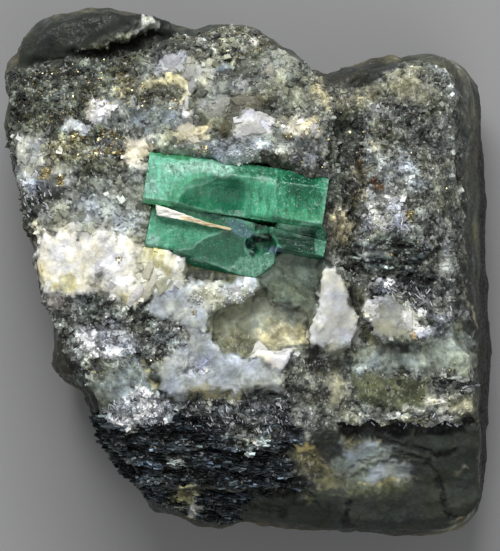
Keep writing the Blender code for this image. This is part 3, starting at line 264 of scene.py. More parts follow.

# The crystals, painted the same way, with how frosted, how veiled and how speckled they are. Some rows paint
# light and shade: undersides made light as if lit through the crystal, the band under the upper crystal
# darkened by its shade, the gap shade, and the cavity in the lower crystal painted near black.
EMERALD_BASE = (68, 148, 112)
EMERALD_TRAITS = (0.1, 0.5, 0.2)
# pale edges of the crystals: frosted wear, with painted highlight along them
EMERALD_WORN_EDGE_LIGHT = (140, 210, 180)
EMERALD_PAINTS = {
    "pale_end": ((142, 228, 194), 0.35, 0.8, 0.3, 1.0, [
        (-14, 16), (-9.5, 15.4), (-6, 14), (-5, 12.6), (-8, 11), (-9.7, 9.6), (-9.8, 8), (-14, 8)]),
    "top_edge": ((78, 164, 116), 0.2, 0.6, 0.2, 0.3, [(-12.4, 15.4), (-8, 15), (-6.4, 14.3), (-7.4, 13.8), (-9.6, 14.1), (-11.8, 14.4)]),
    "frosted_top": ((176, 232, 208), 0.9, 0.9, 0.3, 0.6, [
        (-10.6, 13.3), (-8, 13.6), (-5, 13.8), (-2.4, 13.4), (-1.8, 12.4), (-3, 11.8), (-5, 12.4), (-7.4, 12.4), (-9.8, 12.2)]),
    "pitted_left": ((128, 204, 170), 0.6, 0.4, 1.0, 0.4, [(-12.8, 10.9), (-12.3, 13.3), (-11.6, 13.2), (-11.8, 11)]),
    "frosted_left": ((166, 226, 204), 0.9, 0.4, 0.5, 0.5, [(-13.3, 9.8), (-12.6, 11.6), (-11.4, 11.8), (-10.9, 10)]),
    # painted light: the lowest edge of the upper crystal made light, as if lit through the crystal
    "left_strip_lit": ((120, 216, 164), 0.1, 0.3, 0.1, 0.25, [(-13.6, 9.2), (-10, 9.1), (-9.2, 8.4), (-10, 8), (-13.6, 8)]),
    "scar_rim": ((104, 194, 152), 0.25, 0.8, 0.4, 0.25, [
        (-9.9, 9.4), (-9.2, 10.6), (-7.8, 11.8), (-6.4, 12.3), (-5, 12.2), (-4, 11.4), (-6, 9), (-9, 8.4)]),
    "scar": ((44, 140, 100), 0.0, 0.5, 0.1, 0.2, [
        (-8.9, 8.3), (-8.6, 9.4), (-7.6, 10.4), (-6, 10.9), (-4.8, 11.2), (-4, 11.5), (-2, 11.7), (0.4, 11.4), (2.4, 10.8),
        (2.6, 9), (2.6, 7.2), (0.8, 6.2), (-1, 6.3), (-4, 7.2), (-7, 7.8)]),
    "scar_inner": ((16, 116, 82), 0.0, 0.4, 0.1, 1.6, [
        (-5.2, 9.2), (-4.9, 10.2), (-4.2, 11), (-3, 11.4), (-1.4, 11.5), (-0.8, 10.6), (-1, 8), (-2, 7.2), (-4.4, 8.4)]),
    "scar_left": ((22, 116, 80), 0.0, 0.4, 0.1, 0.7, [(-8.6, 8.2), (-8.2, 9.4), (-7, 10.2), (-5.6, 9.6), (-6, 8)]),
    "scar_low": ((78, 160, 122), 0.1, 0.7, 0.3, 0.6, [(-6.6, 7.8), (-4, 7.8), (-1.8, 7), (-0.8, 6.4), (-4, 6.9)]),
    "clear_middle": ((90, 190, 146), 0.15, 0.9, 0.2, 1.6, [(-0.8, 11.6), (2.8, 11.6), (3.2, 8), (2.8, 6.2), (0, 6.1)]),
    "frosted_spot": ((150, 204, 180), 1.0, 0.4, 0.3, 0.4, [(0.7, 12.2), (1.6, 12.5), (2.6, 11.4), (1.6, 11.1), (0.9, 11.5)]),
    "top_middle": ((60, 138, 104), 0.4, 0.8, 0.6, 0.5, [(-1.8, 13), (2.8, 12.8), (2.8, 12), (-1.6, 11.9)]),
    "right_half": ((54, 152, 110), 0.15, 1.0, 0.7, 0.4, [(3, 13.4), (9.8, 12.6), (9.4, 4.8), (3, 5.8)]),
    "right_dark": ((22, 104, 72), 0.1, 0.8, 0.8, 1.2, [(4.2, 12.4), (7.8, 12.2), (8, 9.6), (6, 9), (4.4, 9.6)]),
    "right_low": ((88, 176, 132), 0.2, 0.8, 0.3, 1.0, [(3.4, 7.8), (8.8, 7.4), (8.8, 5.4), (3.2, 6)]),
    "right_bright": ((160, 226, 198), 0.8, 0.6, 0.2, 0.4, [(6.2, 6.5), (8.3, 6.4), (8.4, 6), (6.2, 6.1)]),
    "right_edge": ((104, 176, 144), 0.6, 0.6, 0.6, 0.5, [(8.8, 12.6), (9.9, 12.6), (9.4, 5.2), (8.6, 5.4)]),
    # painted light: the underside of the upper crystal made light, as if lit through the crystal, on this row and the
    # next
    "right_bevel_lit": ((160, 240, 196), 0.2, 0.5, 0.1, 0.25, [(3, 6.2), (8.9, 5.6), (9, 4.9), (3, 5.4)]),
    "middle_bevel_lit": ((110, 206, 156), 0.1, 0.5, 0.2, 0.3, [(-2.6, 6.5), (2.6, 6.2), (2.6, 5.6), (-2.4, 5.9)]),
    "left_bevel": ((20, 88, 74), 0.0, 0.4, 0.2, 0.3, [(-9.6, 8.3), (-7, 7.8), (-3.6, 6.9), (-2.4, 6.3), (-4.4, 6.2), (-9.6, 7.6)]),
    "lower_light": ((74, 166, 126), 0.15, 0.5, 0.2, 0.25, [(-13, 8), (-8, 7), (-4.6, 6), (-3.2, 5.3), (-6.8, 3.4), (-8.6, 3), (-13, 3)]),
    "lower_light_left": ((86, 180, 140), 0.2, 0.5, 0.3, 0.4, [(-12.6, 7.4), (-9.7, 6.9), (-9.6, 3.4), (-12.6, 3)]),
    "frosted_corner": ((146, 206, 184), 0.8, 0.4, 0.4, 0.4, [(-12.6, 3.4), (-12.2, 4.9), (-10.8, 4.7), (-11.2, 3.4)]),
    "lower_dark": ((10, 108, 74), 0.0, 0.5, 0.15, 0.25, [
        (-8.8, 3.2), (-7, 3.3), (-5.6, 4.3), (-3.2, 5.3), (-0.6, 5.2), (-0.5, 3), (0.3, 2), (-0.8, -0.3), (-9, 1.6)]),
    "lower_low": ((48, 128, 96), 0.1, 0.6, 0.3, 0.5, [(-6.6, 2.2), (-4, 1.9), (-0.8, 1.6), (-1, 0.4), (-4, 1), (-6.8, 1.6)]),
    "lower_tip": ((118, 182, 152), 0.6, 0.8, 0.4, 0.4, [(-1, 2.1), (0.4, 2.2), (1.2, 2.4), (3.6, 2.6), (4.6, 2.4), (1.6, -0.6), (-2.8, 0.7)]),
    "blue_tip": ((92, 138, 142), 0.5, 0.6, 0.2, 0.4, [(-3.2, 6), (-1.8, 6.1), (-0.2, 5.8), (0.8, 5), (-0.2, 4.5), (-1.2, 4.6), (-2, 5.2)]),
    "gap_shade": ((10, 64, 44), 0.0, 0.2, 0.1, 0.3, [(-0.2, 6.6), (3.6, 6.3), (9.2, 5.6), (9, 5.2), (4, 5.7), (2, 5.7), (0.6, 5.4)]),
    # painted shade: the cavity in the lower crystal painted near black
    "hole_shade": ((4, 12, 10), 0.0, 0.2, 0.2, 0.4, [(0.2, 4.8), (1.2, 5.2), (2.8, 4.9), (2.6, 3.9), (1.2, 3.8), (0.4, 4)]),
    "hole_green": ((10, 62, 50), 0.0, 0.3, 0.2, 0.3, [(-0.4, 4.6), (0.4, 4), (0.9, 3), (0.4, 2.3), (-0.2, 2.6), (-0.6, 3.6)]),
    "hole_blue": ((96, 126, 148), 0.5, 0.5, 0.2, 0.3, [(1.8, 3.1), (2.6, 3.6), (3.9, 3.4), (4, 2.8), (3, 2.6), (2, 2.7)]),
    # painted shade: the band of the lower crystal under the upper one, painted dark for the upper crystal's shade
    "shaded_strip": ((0, 62, 40), 0.0, 0.5, 0.0, 0.4, [(3, 5), (8.4, 4.8), (8.6, 2.4), (4, 3)]),
    "strip_end": ((70, 150, 116), 0.5, 0.5, 0.5, 0.4, [(7.9, 4.8), (9.8, 5), (9.8, 2.2), (7.8, 2.4)]),
}
# Arcs of the shell-shaped scars, healed cracks and growth lines: width, depth, colour, strength, line.
EMERALD_LINES = [
    (0.10, 0.0, (160, 222, 198), 0.50, [(-8.9, 8.5), (-8.6, 9.4), (-7.6, 10.4), (-6, 10.9), (-4.8, 11.2), (-4, 11.6)]),
    (0.09, 0.0, (160, 220, 196), 0.35, [(-9.9, 9.6), (-9.2, 10.6), (-7.8, 11.8), (-6.4, 12.3), (-5, 12.3)]),
    (0.09, 0.0, (100, 180, 146), 0.35, [(-5, 9.4), (-4.9, 10.2), (-4.2, 11), (-3, 11.5)]),
    (0.12, 0.0, (196, 238, 220), 0.70, [(-13.2, 9.3), (-11.8, 9.35), (-10.4, 9.2)]),
    (0.14, 0.0, (150, 208, 184), 0.40, [(3, 12.8), (3.1, 9), (2.9, 6.2)]),
    (0.12, 0.0, (140, 204, 176), 0.30, [(-0.6, 11.5), (-0.4, 9), (-0.9, 7)]),
    (0.10, 0.0, (150, 212, 184), 0.35, [(0.6, 11.6), (0.9, 8.6), (0.5, 6.4)]),
    (0.10, 0.0, (150, 212, 184), 0.35, [(1.8, 11.5), (1.7, 9), (1.9, 6.8)]),
    (0.10, 0.0, (20, 80, 58), 0.35, [(5.2, 11.8), (5.4, 8), (5.1, 6)]),
    (0.10, 0.0, (120, 190, 160), 0.30, [(4, 11.8), (3.9, 8), (4.1, 6)]),
    (0.10, 0.0, (170, 226, 204), 0.35, [(-4.4, 11.9), (-2, 12), (0.6, 11.8), (2.8, 11.2)]),
    (0.10, 0.0, (20, 84, 60), 0.35, [(-4.4, 10.8), (-3.6, 8.2), (-3.8, 7.4)]),
    (0.12, 0.0, (170, 226, 204), 0.60, [(-8.6, 3.2), (-6.9, 3.3), (-5.6, 4.3), (-3.2, 5.4)]),
    (0.10, 0.0, (60, 140, 108), 0.45, [(-9.7, 6.8), (-9.5, 5), (-9.6, 3.6)]),
    (0.10, 0.0, (54, 134, 102), 0.40, [(-8, 6.6), (-8.1, 4.6), (-8, 3.4)]),
    (0.12, 0.0, (140, 200, 180), 0.40, [(-0.5, 4.4), (-0.6, 3.2), (0, 2.2), (0.6, 1.6)]),
    (0.14, 0.0, (180, 230, 208), 0.45, [(-7, 1.9), (-4, 1.2), (-1, 0.7), (1.8, 0.2)]),
]

# The sliver of calcite between the crystals, seen from the front, and how its front slopes.
SEAM = [
    (-11.3, 8.5), (-8.6, 7.65), (-6.9, 7.0), (-5.2, 6.4), (-2.2, 5.65), (-2.3, 5.42), (-5.2, 6.0), (-6.9, 6.4),
    (-8.6, 6.8), (-11.2, 7.25)]
SEAM_HEIGHT = 35.25
SEAM_MIDDLE = 7.0
SEAM_RISE = 0.30
SEAM_LINES = [
    (0.22, 0.0, (222, 190, 116), 0.75, [(-8.2, 7.0), (-6.6, 6.6), (-5, 6.15)]),
    (0.09, 0.0, (130, 124, 100), 0.50, [(-7.4, 6.9), (-6.4, 6.75), (-4, 6.05)]),
    (0.10, 0.0, (206, 200, 180), 0.40, [(-11.2, 7.8), (-8.8, 7.4), (-6.6, 6.9)]),
    (0.30, 0.0, (196, 174, 118), 0.80, [(-5.4, 6.2), (-2.2, 5.55)]),
]

# Cracks and veins on the rock, with painted shadow along the crack under the ledge, the groove under the
# shoulder ridge and the lip of the hollow: width, depth, colour, strength, line.
BLACK = (12, 13, 12)
LINES = [
    # painted shadow: the black crack under the ledge, darkened as the shadow of the ledge's step
    (0.45, 0.9, BLACK, 0.95, [(11.6, -18.7), (13, -18.3), (17, -18.6), (21, -18.7), (25, -18.3), (27.8, -17.8)]),
    (0.28, 0.4, BLACK, 0.85, [(11, -19.2), (13, -19.5), (18, -20.2), (20, -20.9), (22.5, -21.7), (24.6, -21.4)]),
    (0.20, 0.35, (26, 28, 26), 0.70, [(16, -20.4), (18, -21.4), (21.4, -22.6), (22.6, -24.6), (23.2, -26.2)]),
    (0.22, 0.45, BLACK, 0.90, [(23, -25.5), (23.8, -28.5), (24.5, -29.8), (25.8, -30.4)]),
    (0.24, 0.50, BLACK, 0.90, [(11.8, -27.3), (11.5, -29.2), (12.2, -30.4), (12.8, -31.2)]),
    (0.24, 0.35, BLACK, 0.70, [(3.5, -25.3), (5.4, -25.6), (7.5, -26.6)]),
    (0.20, 0.25, (26, 28, 26), 0.60, [(1, -27.6), (4.4, -28.4), (7.4, -27.6), (9.8, -28.6)]),
    (0.22, 0.35, (26, 26, 18), 0.80, [(-13.4, -9.4), (-12.6, -10.8), (-11.9, -12.6), (-11.0, -14.0), (-9.8, -14.8)]),
    (0.16, 0.0, (168, 160, 98), 0.70, [(-13.1, -10.4), (-12.4, -12), (-11.6, -13.4)]),
    (0.22, 0.40, BLACK, 0.75, [(16.5, 22), (16.4, 23.4), (16.1, 24.7)]),
    (0.34, 0.50, (34, 34, 26), 0.75, [(12.9, 16.6), (13.1, 12), (12.7, 8), (12.3, 4), (12, 0.5), (12.5, -1.6), (13, -4.4), (13, -5.6)]),
    (0.26, 0.35, (24, 26, 20), 0.75, [(12.4, -8.6), (11.9, -10.6), (11.9, -12.6), (12.6, -14.8), (13.8, -16.6)]),
    (0.16, 0.0, (206, 196, 160), 0.70, [(14.3, 16.4), (14.8, 15.4), (15, 14.4)]),
    (0.20, 0.25, (40, 42, 38), 0.60, [(14.4, 10.8), (17, 11.3), (20.4, 10.6)]),
    (0.28, 0.35, (22, 24, 22), 0.70, [(12.6, 2.2), (15, 1.2), (18, 1.0), (21, 1.4), (23, 3.2), (24.2, 6)]),
    (0.22, 0.30, (22, 24, 22), 0.60, [(12.8, 3.4), (15.4, 2.6), (18.6, 2.5), (21.4, 3)]),
    (0.45, 0.60, BLACK, 0.80, [(20.9, -0.5), (21.9, -0.6)]),
    (0.25, 0.30, (26, 28, 26), 0.60, [(18.8, -1.6), (21, -2.4), (24.4, -2.2)]),
    (0.20, 0.25, (30, 30, 26), 0.60, [(20.6, -3.4), (22.6, -4.2), (24.8, -3.9)]),
    (0.30, 0.35, (30, 30, 20), 0.75, [(18, -12.1), (18.9, -11.7)]),
    (0.22, 0.30, (30, 32, 26), 0.65, [(14, -15.6), (18, -16.4), (22, -16.9), (26.6, -17)]),
    (0.18, 0.20, (34, 36, 32), 0.60, [(21.6, -12.2), (24, -12.9), (27, -13)]),
    # painted shadow: this row and the next darken the groove under the shoulder ridge
    (0.40, 0.50, (24, 25, 23), 0.70, [(-21.6, 26.7), (-18, 27.1), (-14.6, 28.2), (-11.4, 29.2), (-9.6, 29.4)]),
    (0.30, 0.30, (28, 30, 26), 0.60, [(-26.6, 25.8), (-23.6, 26.6), (-21, 27.2)]),
    (0.35, 0.45, (30, 32, 28), 0.60, [(-26.6, 8.6), (-24.6, 9.3), (-22.8, 9.2)]),
    (0.26, 0.35, (30, 32, 30), 0.65, [(-20.4, -6), (-18.4, -6.2), (-16, -5.9), (-13.4, -4.4), (-11.4, -3)]),
    (0.26, 0.35, (30, 32, 30), 0.60, [(-13, -5.2), (-12.4, -7.4), (-13.2, -9.2), (-12.9, -10.4)]),
    (0.22, 0.30, (30, 32, 30), 0.60, [(-21.4, -7), (-21.2, -10), (-20.2, -13)]),
    # painted shadow: the dark line along the lip of the hollow
    (0.30, 0.15, (96, 98, 78), 0.35, [(-5.2, -4.4), (-4.2, -6), (-4, -8), (-2.6, -9.2)]),
    (0.20, 0.25, (70, 70, 54), 0.55, [(8.8, 0.6), (8, -1.6), (7.6, -4), (7.2, -6), (6.4, -8.4)]),
    (0.22, 0.30, (50, 50, 40), 0.55, [(-7.4, 20.6), (-6.4, 18.6), (-4.4, 17.8), (-2.6, 16.6)]),
    (0.20, 0.25, (60, 60, 50), 0.55, [(-8.4, 24.2), (-7, 22.8), (-6.4, 21)]),
    (0.20, 0.25, (56, 58, 48), 0.50, [(-15.6, 21.4), (-13.6, 22.4), (-10.6, 22.8)]),
    (0.24, 0.30, (52, 54, 46), 0.55, [(1.8, 20.4), (3.6, 19.6), (6, 20.4), (8.4, 19.2)]),
    (0.24, 0.30, (60, 62, 52), 0.50, [(2.2, 26.6), (2.8, 24.4), (4, 22.8), (6.6, 22.4)]),
    (0.50, 0.8, (14, 15, 15), 0.80, [(-17.2, -18.8), (-13, -19.6), (-9, -19.3), (-5, -19.9)]),
    (0.40, 0.7, (14, 15, 15), 0.80, [(-15.8, -21.2), (-10, -21.6), (-5, -21.4), (0, -22), (4.6, -21.8)]),
    (0.40, 0.7, (14, 15, 15), 0.75, [(-14.8, -23.4), (-10, -24), (-4, -23.8), (2, -24.6), (6.4, -24.6)]),
    (0.34, 0.6, (14, 15, 15), 0.75, [(-13.4, -25.4), (-8, -25.8), (-2, -26.4), (3, -26.2), (8, -27)]),
    (0.26, 0.4, (18, 19, 18), 0.65, [(-11, -27.6), (-6, -26.6), (-1, -28), (4, -29)]),
    (0.16, 0.0, (150, 152, 138), 0.70, [(25.5, 11), (25.9, 7), (26.3, 3)]),
    (0.14, 0.0, (166, 162, 142), 0.85, [(26.1, -2), (26.9, -4.4), (27.5, -6.5), (26.9, -8.6), (26.6, -10.6), (27.2, -12.4)]),
    (0.22, 0.0, (120, 122, 110), 0.55, [(24.6, 22), (25.1, 16), (25.2, 12)]),
    (0.15, 0.15, (48, 52, 44), 0.80, [(10.4, -24.6), (12.4, -23.4), (14.4, -22.6), (16.6, -21.6)]),
    (0.13, 0.10, (56, 60, 50), 0.70, [(12.2, -24.3), (14.4, -23.2), (16.4, -22.6), (17.6, -22.2)]),
    (0.12, 0.0, (86, 88, 66), 0.60, [(13.2, -20.2), (14.2, -21.2), (15.8, -21.4)]),
    (0.16, 0.0, (170, 172, 160), 0.60, [(9.6, -24.5), (12.4, -23.6), (16.4, -21.9)]),
    (0.12, 0.0, (80, 82, 66), 0.60, [(10.6, -24.8), (13.4, -23.7), (16.8, -22.4)]),
    (0.14, 0.0, (164, 158, 118), 0.60, [(13.4, -25.4), (16, -25), (18.6, -24.4)]),
]

# Where quartz points crowd, and where needles lie with how thickly.
DRUSES = [
    [(-4.6, 14.4), (-3, 13.6), (-1.2, 13.1), (0.6, 13.5), (2.2, 14.4), (4, 14.2), (5.2, 15.4), (3.4, 16.4), (-2, 16.6), (-5, 16)],
    [(5.4, 14.4), (9.6, 14.2), (9.8, 12), (5.4, 12.2)],
    [(-15, 9.8), (-13.2, 9), (-13.2, 4.8), (-17, 5.4), (-19, 8)],
    [(-12, 26.4), (-7.4, 26.8), (-7, 24), (-11.8, 24)],
    [(3.4, 27.6), (8, 23.4), (4.4, 22.6), (2.6, 24.6)],
    [(-8, -2), (-3, -1), (1.6, -1.2), (-1.6, -3.6), (-7, -4)],
]
NEEDLE_BANDS = [
    ([(-17.8, -16.2), (-16, -15), (-13, -13.8), (-9.6, -15.2), (-9.4, -17.6), (-13, -18.2), (-16.8, -18)], 1.0),
    ([(-20.4, -6), (-15.6, -6), (-13, -7), (-13, -9), (-17, -10), (-20, -8.6)], 0.16),
    ([(-8, -15), (4, -15), (5, -19), (-8, -18.6)], 0.14),
    ([(14.4, -0.4), (20.4, 0.2), (24.8, -4), (20.2, -5), (14.8, -2.4)], 0.10),
    ([(13.4, 10.2), (19, 10), (19, 5.2), (13.4, 5.2)], 0.06),
    ([(12.2, -16.8), (26, -16.8), (26, -18.2), (12.6, -18.2)], 0.08),
    ([(-28, 12.4), (-24, 12.4), (-24, 6.8), (-27.4, 7)], 0.12),
]
# Where cleavage flakes of calcite stand out, how thickly, and how large they are (in millimetres).
FLAKE_BEDS = [
    ([(-14, 3.4), (-10.4, 3.4), (-7, 2), (-7.6, -1), (-11, -2.8), (-13.6, -3.6)], 0.10, 1.1),
    ([(-26, 6), (-14, 5), (-13, -3.6), (-18, -1.6), (-26, -1)], 0.02, 0.8),
    ([(-14, 20), (-8, 28), (1, 29), (8, 24), (10, 18), (-2, 20)], 0.16, 0.8),
    ([(-10, 18.6), (9.6, 19), (9.6, 16.4), (-10, 15.8)], 0.16, 0.8),
    ([(-26, 9.6), (-13.2, 10), (-13.2, 5), (-26, 6)], 0.20, 0.9),
    ([(13.2, -4), (16, -2.2), (16, -4.4), (14, -5)], 0.35, 0.8),
    ([(18.4, -4.4), (20, -4), (22, -7), (19, -7.6)], 0.35, 0.8),
    ([(-22, 17), (-16, 21.4), (-15.6, 18.6), (-20, 16.6)], 0.35, 0.8),
    ([(-28, 17), (-24.6, 16.6), (-24.6, 10), (-28, 10)], 0.25, 0.8),
    ([(13.4, 10), (19, 9.8), (19, 5.4), (13.6, 5.4)], 0.25, 0.7),
    ([(-20.4, -6), (-15.6, -6), (-13, -7), (-13, -9), (-17, -10), (-20, -8.6)], 0.5, 0.7),
    ([(14.6, -0.4), (20.4, 0), (24.8, -3), (20.2, -5), (14.8, -2.4)], 0.45, 0.6),
    ([(-18, -16), (-12, -13.4), (-9.4, -15), (-9.4, -17.6), (-16, -18)], 0.4, 0.6),
    ([(12.6, -16.9), (26, -17), (26, -18), (13, -18)], 0.45, 0.6),
]
CRYSTAL_TONE = 0.74
# Single crystals and cleavage pieces that stand out of the veins: colour, how far they stand out, how
# they lean (rise for each millimetre to the right and up the face), and their outline.
CRYSTALS = [
    ((188, 189, 194), 0.35, (0.05, 0.12), [
        (-11.6, 24.6), (-10.9, 25.6), (-10.2, 26.6), (-9, 26.7), (-8.1, 26.3), (-8.4, 25.4), (-9.1, 24.3), (-10.6, 24), (-11.4, 24.1)]),
    ((180, 179, 174), 0.20, (0.0, 0.1), [(-8.9, 24.2), (-8, 25.4), (-6.9, 25.2), (-6, 24.9), (-6.2, 23.8), (-7.4, 23.4), (-8.7, 23.9)]),
    ((190, 190, 190), 0.25, (0.1, 0.1), [(-7.6, 23.4), (-6.4, 23.8), (-6.3, 22.8), (-7, 21.8), (-7.8, 21.6), (-7.8, 22.6)]),
    ((126, 130, 122), 0.25, (0.1, -0.1), [(-6.6, 21.5), (-6.4, 22.2), (-5.4, 22.9), (-5, 22.5), (-5.1, 21.9), (-6, 21.2)]),
    ((166, 168, 158), 0.45, (-0.05, 0.15), [(-5.1, 20.9), (-3.2, 21.5), (-2.3, 21.3), (-2.6, 20.2), (-2.7, 19.6), (-3.4, 18.6), (-4.8, 18.7), (-5.2, 19.6)]),
    ((168, 172, 170), 0.30, (-0.3, 0.2), [(-6.6, 20.3), (-5.3, 21.3), (-5, 21), (-5.3, 19.9), (-5.9, 20)]),
    ((124, 122, 108), 0.30, (0.0, 0.1), [(-2.4, 21.2), (-1.4, 21.8), (0.2, 21.6), (1.4, 21.7), (1.9, 20.8), (1.4, 20.2), (0, 20.1), (-1.2, 20.2), (-1.9, 20.6)]),
    ((202, 202, 199), 0.55, (0.02, 0.10), [
        (-1.9, 18.7), (-1, 18.9), (0.4, 19.7), (1.2, 19.7), (2, 19.4), (3, 18.3), (2.4, 17.2), (1.4, 17), (0.2, 16.9), (-1.2, 16.7), (-1.4, 17.4)]),
    ((100, 103, 94), 0.15, (0.1, 0.0), [(-3, 18.5), (-2.6, 19.5), (-1.9, 19.3), (-1.8, 18.4), (-1.5, 17.6), (-2.4, 17.6)]),
    ((204, 200, 180), 0.25, (-0.05, 0.1), [(-9, 17.4), (-8.2, 18), (-6.9, 18.1), (-6.1, 17.2), (-5.2, 16.9), (-5, 16), (-6.6, 15.9), (-8.4, 16.4)]),
    ((98, 103, 90), 0.15, (0.1, 0.1), [(-9.5, 16.9), (-9, 16.9), (-8.7, 16.2), (-8.7, 15.5), (-9.2, 15.3), (-9.6, 15.7), (-9.8, 16.2)]),
    ((142, 145, 132), 0.30, (0.1, 0.15), [(3.1, 24.9), (3.6, 25.5), (4.4, 25.9), (5.6, 25.7), (6, 25), (5.6, 24.1), (4.2, 24), (3.4, 24.4)]),
    ((108, 114, 104), 0.15, (0.1, -0.1), [(3.8, 23.9), (5.4, 23.9), (6.2, 23.6), (5.8, 23.1), (5, 22.6), (4, 23)]),
    ((172, 176, 177), 0.25, (0.0, 0.1), [(-1.8, 22.9), (-1.4, 23.6), (-0.4, 23.6), (-0.1, 22.9), (-0.6, 22.2), (-1.4, 22.2)]),
    ((158, 163, 152), 0.20, (0.1, 0.0), [(-4, 23.6), (-2.4, 23.5), (-2.2, 22.2), (-3.6, 21.8), (-4.6, 22.4)]),
    ((116, 130, 134), 0.25, (0.1, 0.1), [(-4.1, 24.6), (-3.9, 25.4), (-2.9, 25.4), (-2.5, 24.8), (-3.1, 24.3)]),
    ((198, 200, 200), 0.25, (0.1, 0.1), [(-4.9, 24.8), (-4.2, 25), (-4.1, 24.4), (-4.4, 23.9), (-4.9, 24)]),
    ((212, 212, 214), 0.30, (0.1, 0.1), [(-0.9, 28.3), (-0.4, 28.8), (0.4, 28.5), (0.8, 28), (1.4, 27.7), (1.1, 27.2), (0.2, 27.5), (-0.6, 27.9)]),
    ((180, 175, 148), 0.20, (0.0, 0.1), [(5.8, 22.8), (7.2, 23.5), (8.6, 23), (9.8, 22), (8.6, 21.8), (7, 22.3)]),
    ((160, 158, 143), 0.20, (0.05, 0.1), [(1.2, 24.2), (1.4, 25.4), (2.6, 25.8), (3.2, 24.8), (3.2, 23.9), (2, 23.4)]),
    ((190, 187, 172), 0.25, (0.0, 0.1), [(5, 19.2), (6.4, 19.1), (6.8, 18.2), (6.2, 17.2), (4.9, 17.4), (4.3, 18.2)]),
    ((202, 200, 196), 0.30, (-0.1, 0.1), [(7, 18.2), (7.8, 18.8), (8.8, 18.4), (8.4, 17), (7.4, 16.6), (7.2, 17.4)]),
    ((206, 208, 206), 0.20, (0.0, 0.0), [(-7.9, 22.6), (-7.4, 22.9), (-7.3, 21), (-7.4, 19.4), (-7.9, 19.2), (-8, 20.8)]),
    ((214, 214, 220), 0.40, (0.2, 0.1), [(-11.4, 1.8), (-10.6, 2.9), (-9.2, 3.1), (-8.8, 2.6), (-9.8, 1.8), (-11, 1.2)]),
    ((186, 187, 162), 0.35, (0.15, -0.08), [
        (-11, -0.2), (-10.2, 1.1), (-9, 2.1), (-7.6, 1.9), (-7.1, 1.6), (-7.4, 0.7), (-7.6, 0), (-7.7, -0.8),
        (-8.6, -1), (-9.6, -1.6), (-10.8, -2.3), (-11.4, -1.2)]),
    ((204, 202, 186), 0.40, (0.15, -0.1), [(-13.2, -2), (-12.2, -0.6), (-11.2, 0.4), (-10.9, -0.4), (-11.6, -1.8), (-12.2, -2.8), (-13.2, -3.4)]),
    ((222, 220, 216), 0.40, (0.1, -0.1), [(-14.9, -3.4), (-14, -1.6), (-13, -1), (-12.6, -2), (-13.2, -3), (-14.4, -3.8)]),
    ((210, 206, 184), 0.35, (0.2, 0.0), [(-13.4, -0.4), (-12.6, 1.4), (-12.2, 2.6), (-11.6, 2.2), (-11.6, 0.6), (-12.2, -0.6)]),
    ((206, 209, 206), 0.35, (0.1, -0.15), [
        (-2.7, -1.4), (-1.8, -1.2), (-0.3, -1.5), (0.8, -1.7), (0.5, -2.3), (-0.5, -2.8), (-1.1, -3.4), (-1.8, -3.5), (-2.4, -2.8), (-2.6, -2)]),
    ((228, 226, 221), 0.30, (0.0, 0.0), [
        (0.2, -9.3), (0.6, -8.3), (1.1, -7.8), (1.3, -8.6), (2.4, -9.1), (4, -9.1), (5, -8.9), (5.6, -9), (4.9, -9.6),
        (4.5, -10.2), (4.1, -10.8), (2.8, -10.8), (1.6, -10.4), (0.6, -9.9)]),
    ((214, 214, 210), 0.30, (0.1, 0.1), [(18.4, -4.8), (19, -4.1), (19.5, -4.4), (19.8, -5.8), (19.3, -6.9), (18.6, -6.4), (18.2, -5.6)]),
    ((200, 203, 208), 0.30, (0.1, 0.1), [(20.8, -7), (21.2, -6.2), (22.5, -6.2), (22, -6.8), (21.2, -7.5)]),
    ((212, 212, 208), 0.30, (-0.1, 0.1), [(13.3, -4.4), (14, -3.2), (14.8, -2.5), (15.8, -2.6), (15.6, -3.6), (14.9, -4.8), (13.8, -4.9)]),
]
GRAINS = 7000
FLAKES = 1050
PLATES = 2600
DRUSE_POINTS = 650
NEEDLES = 850

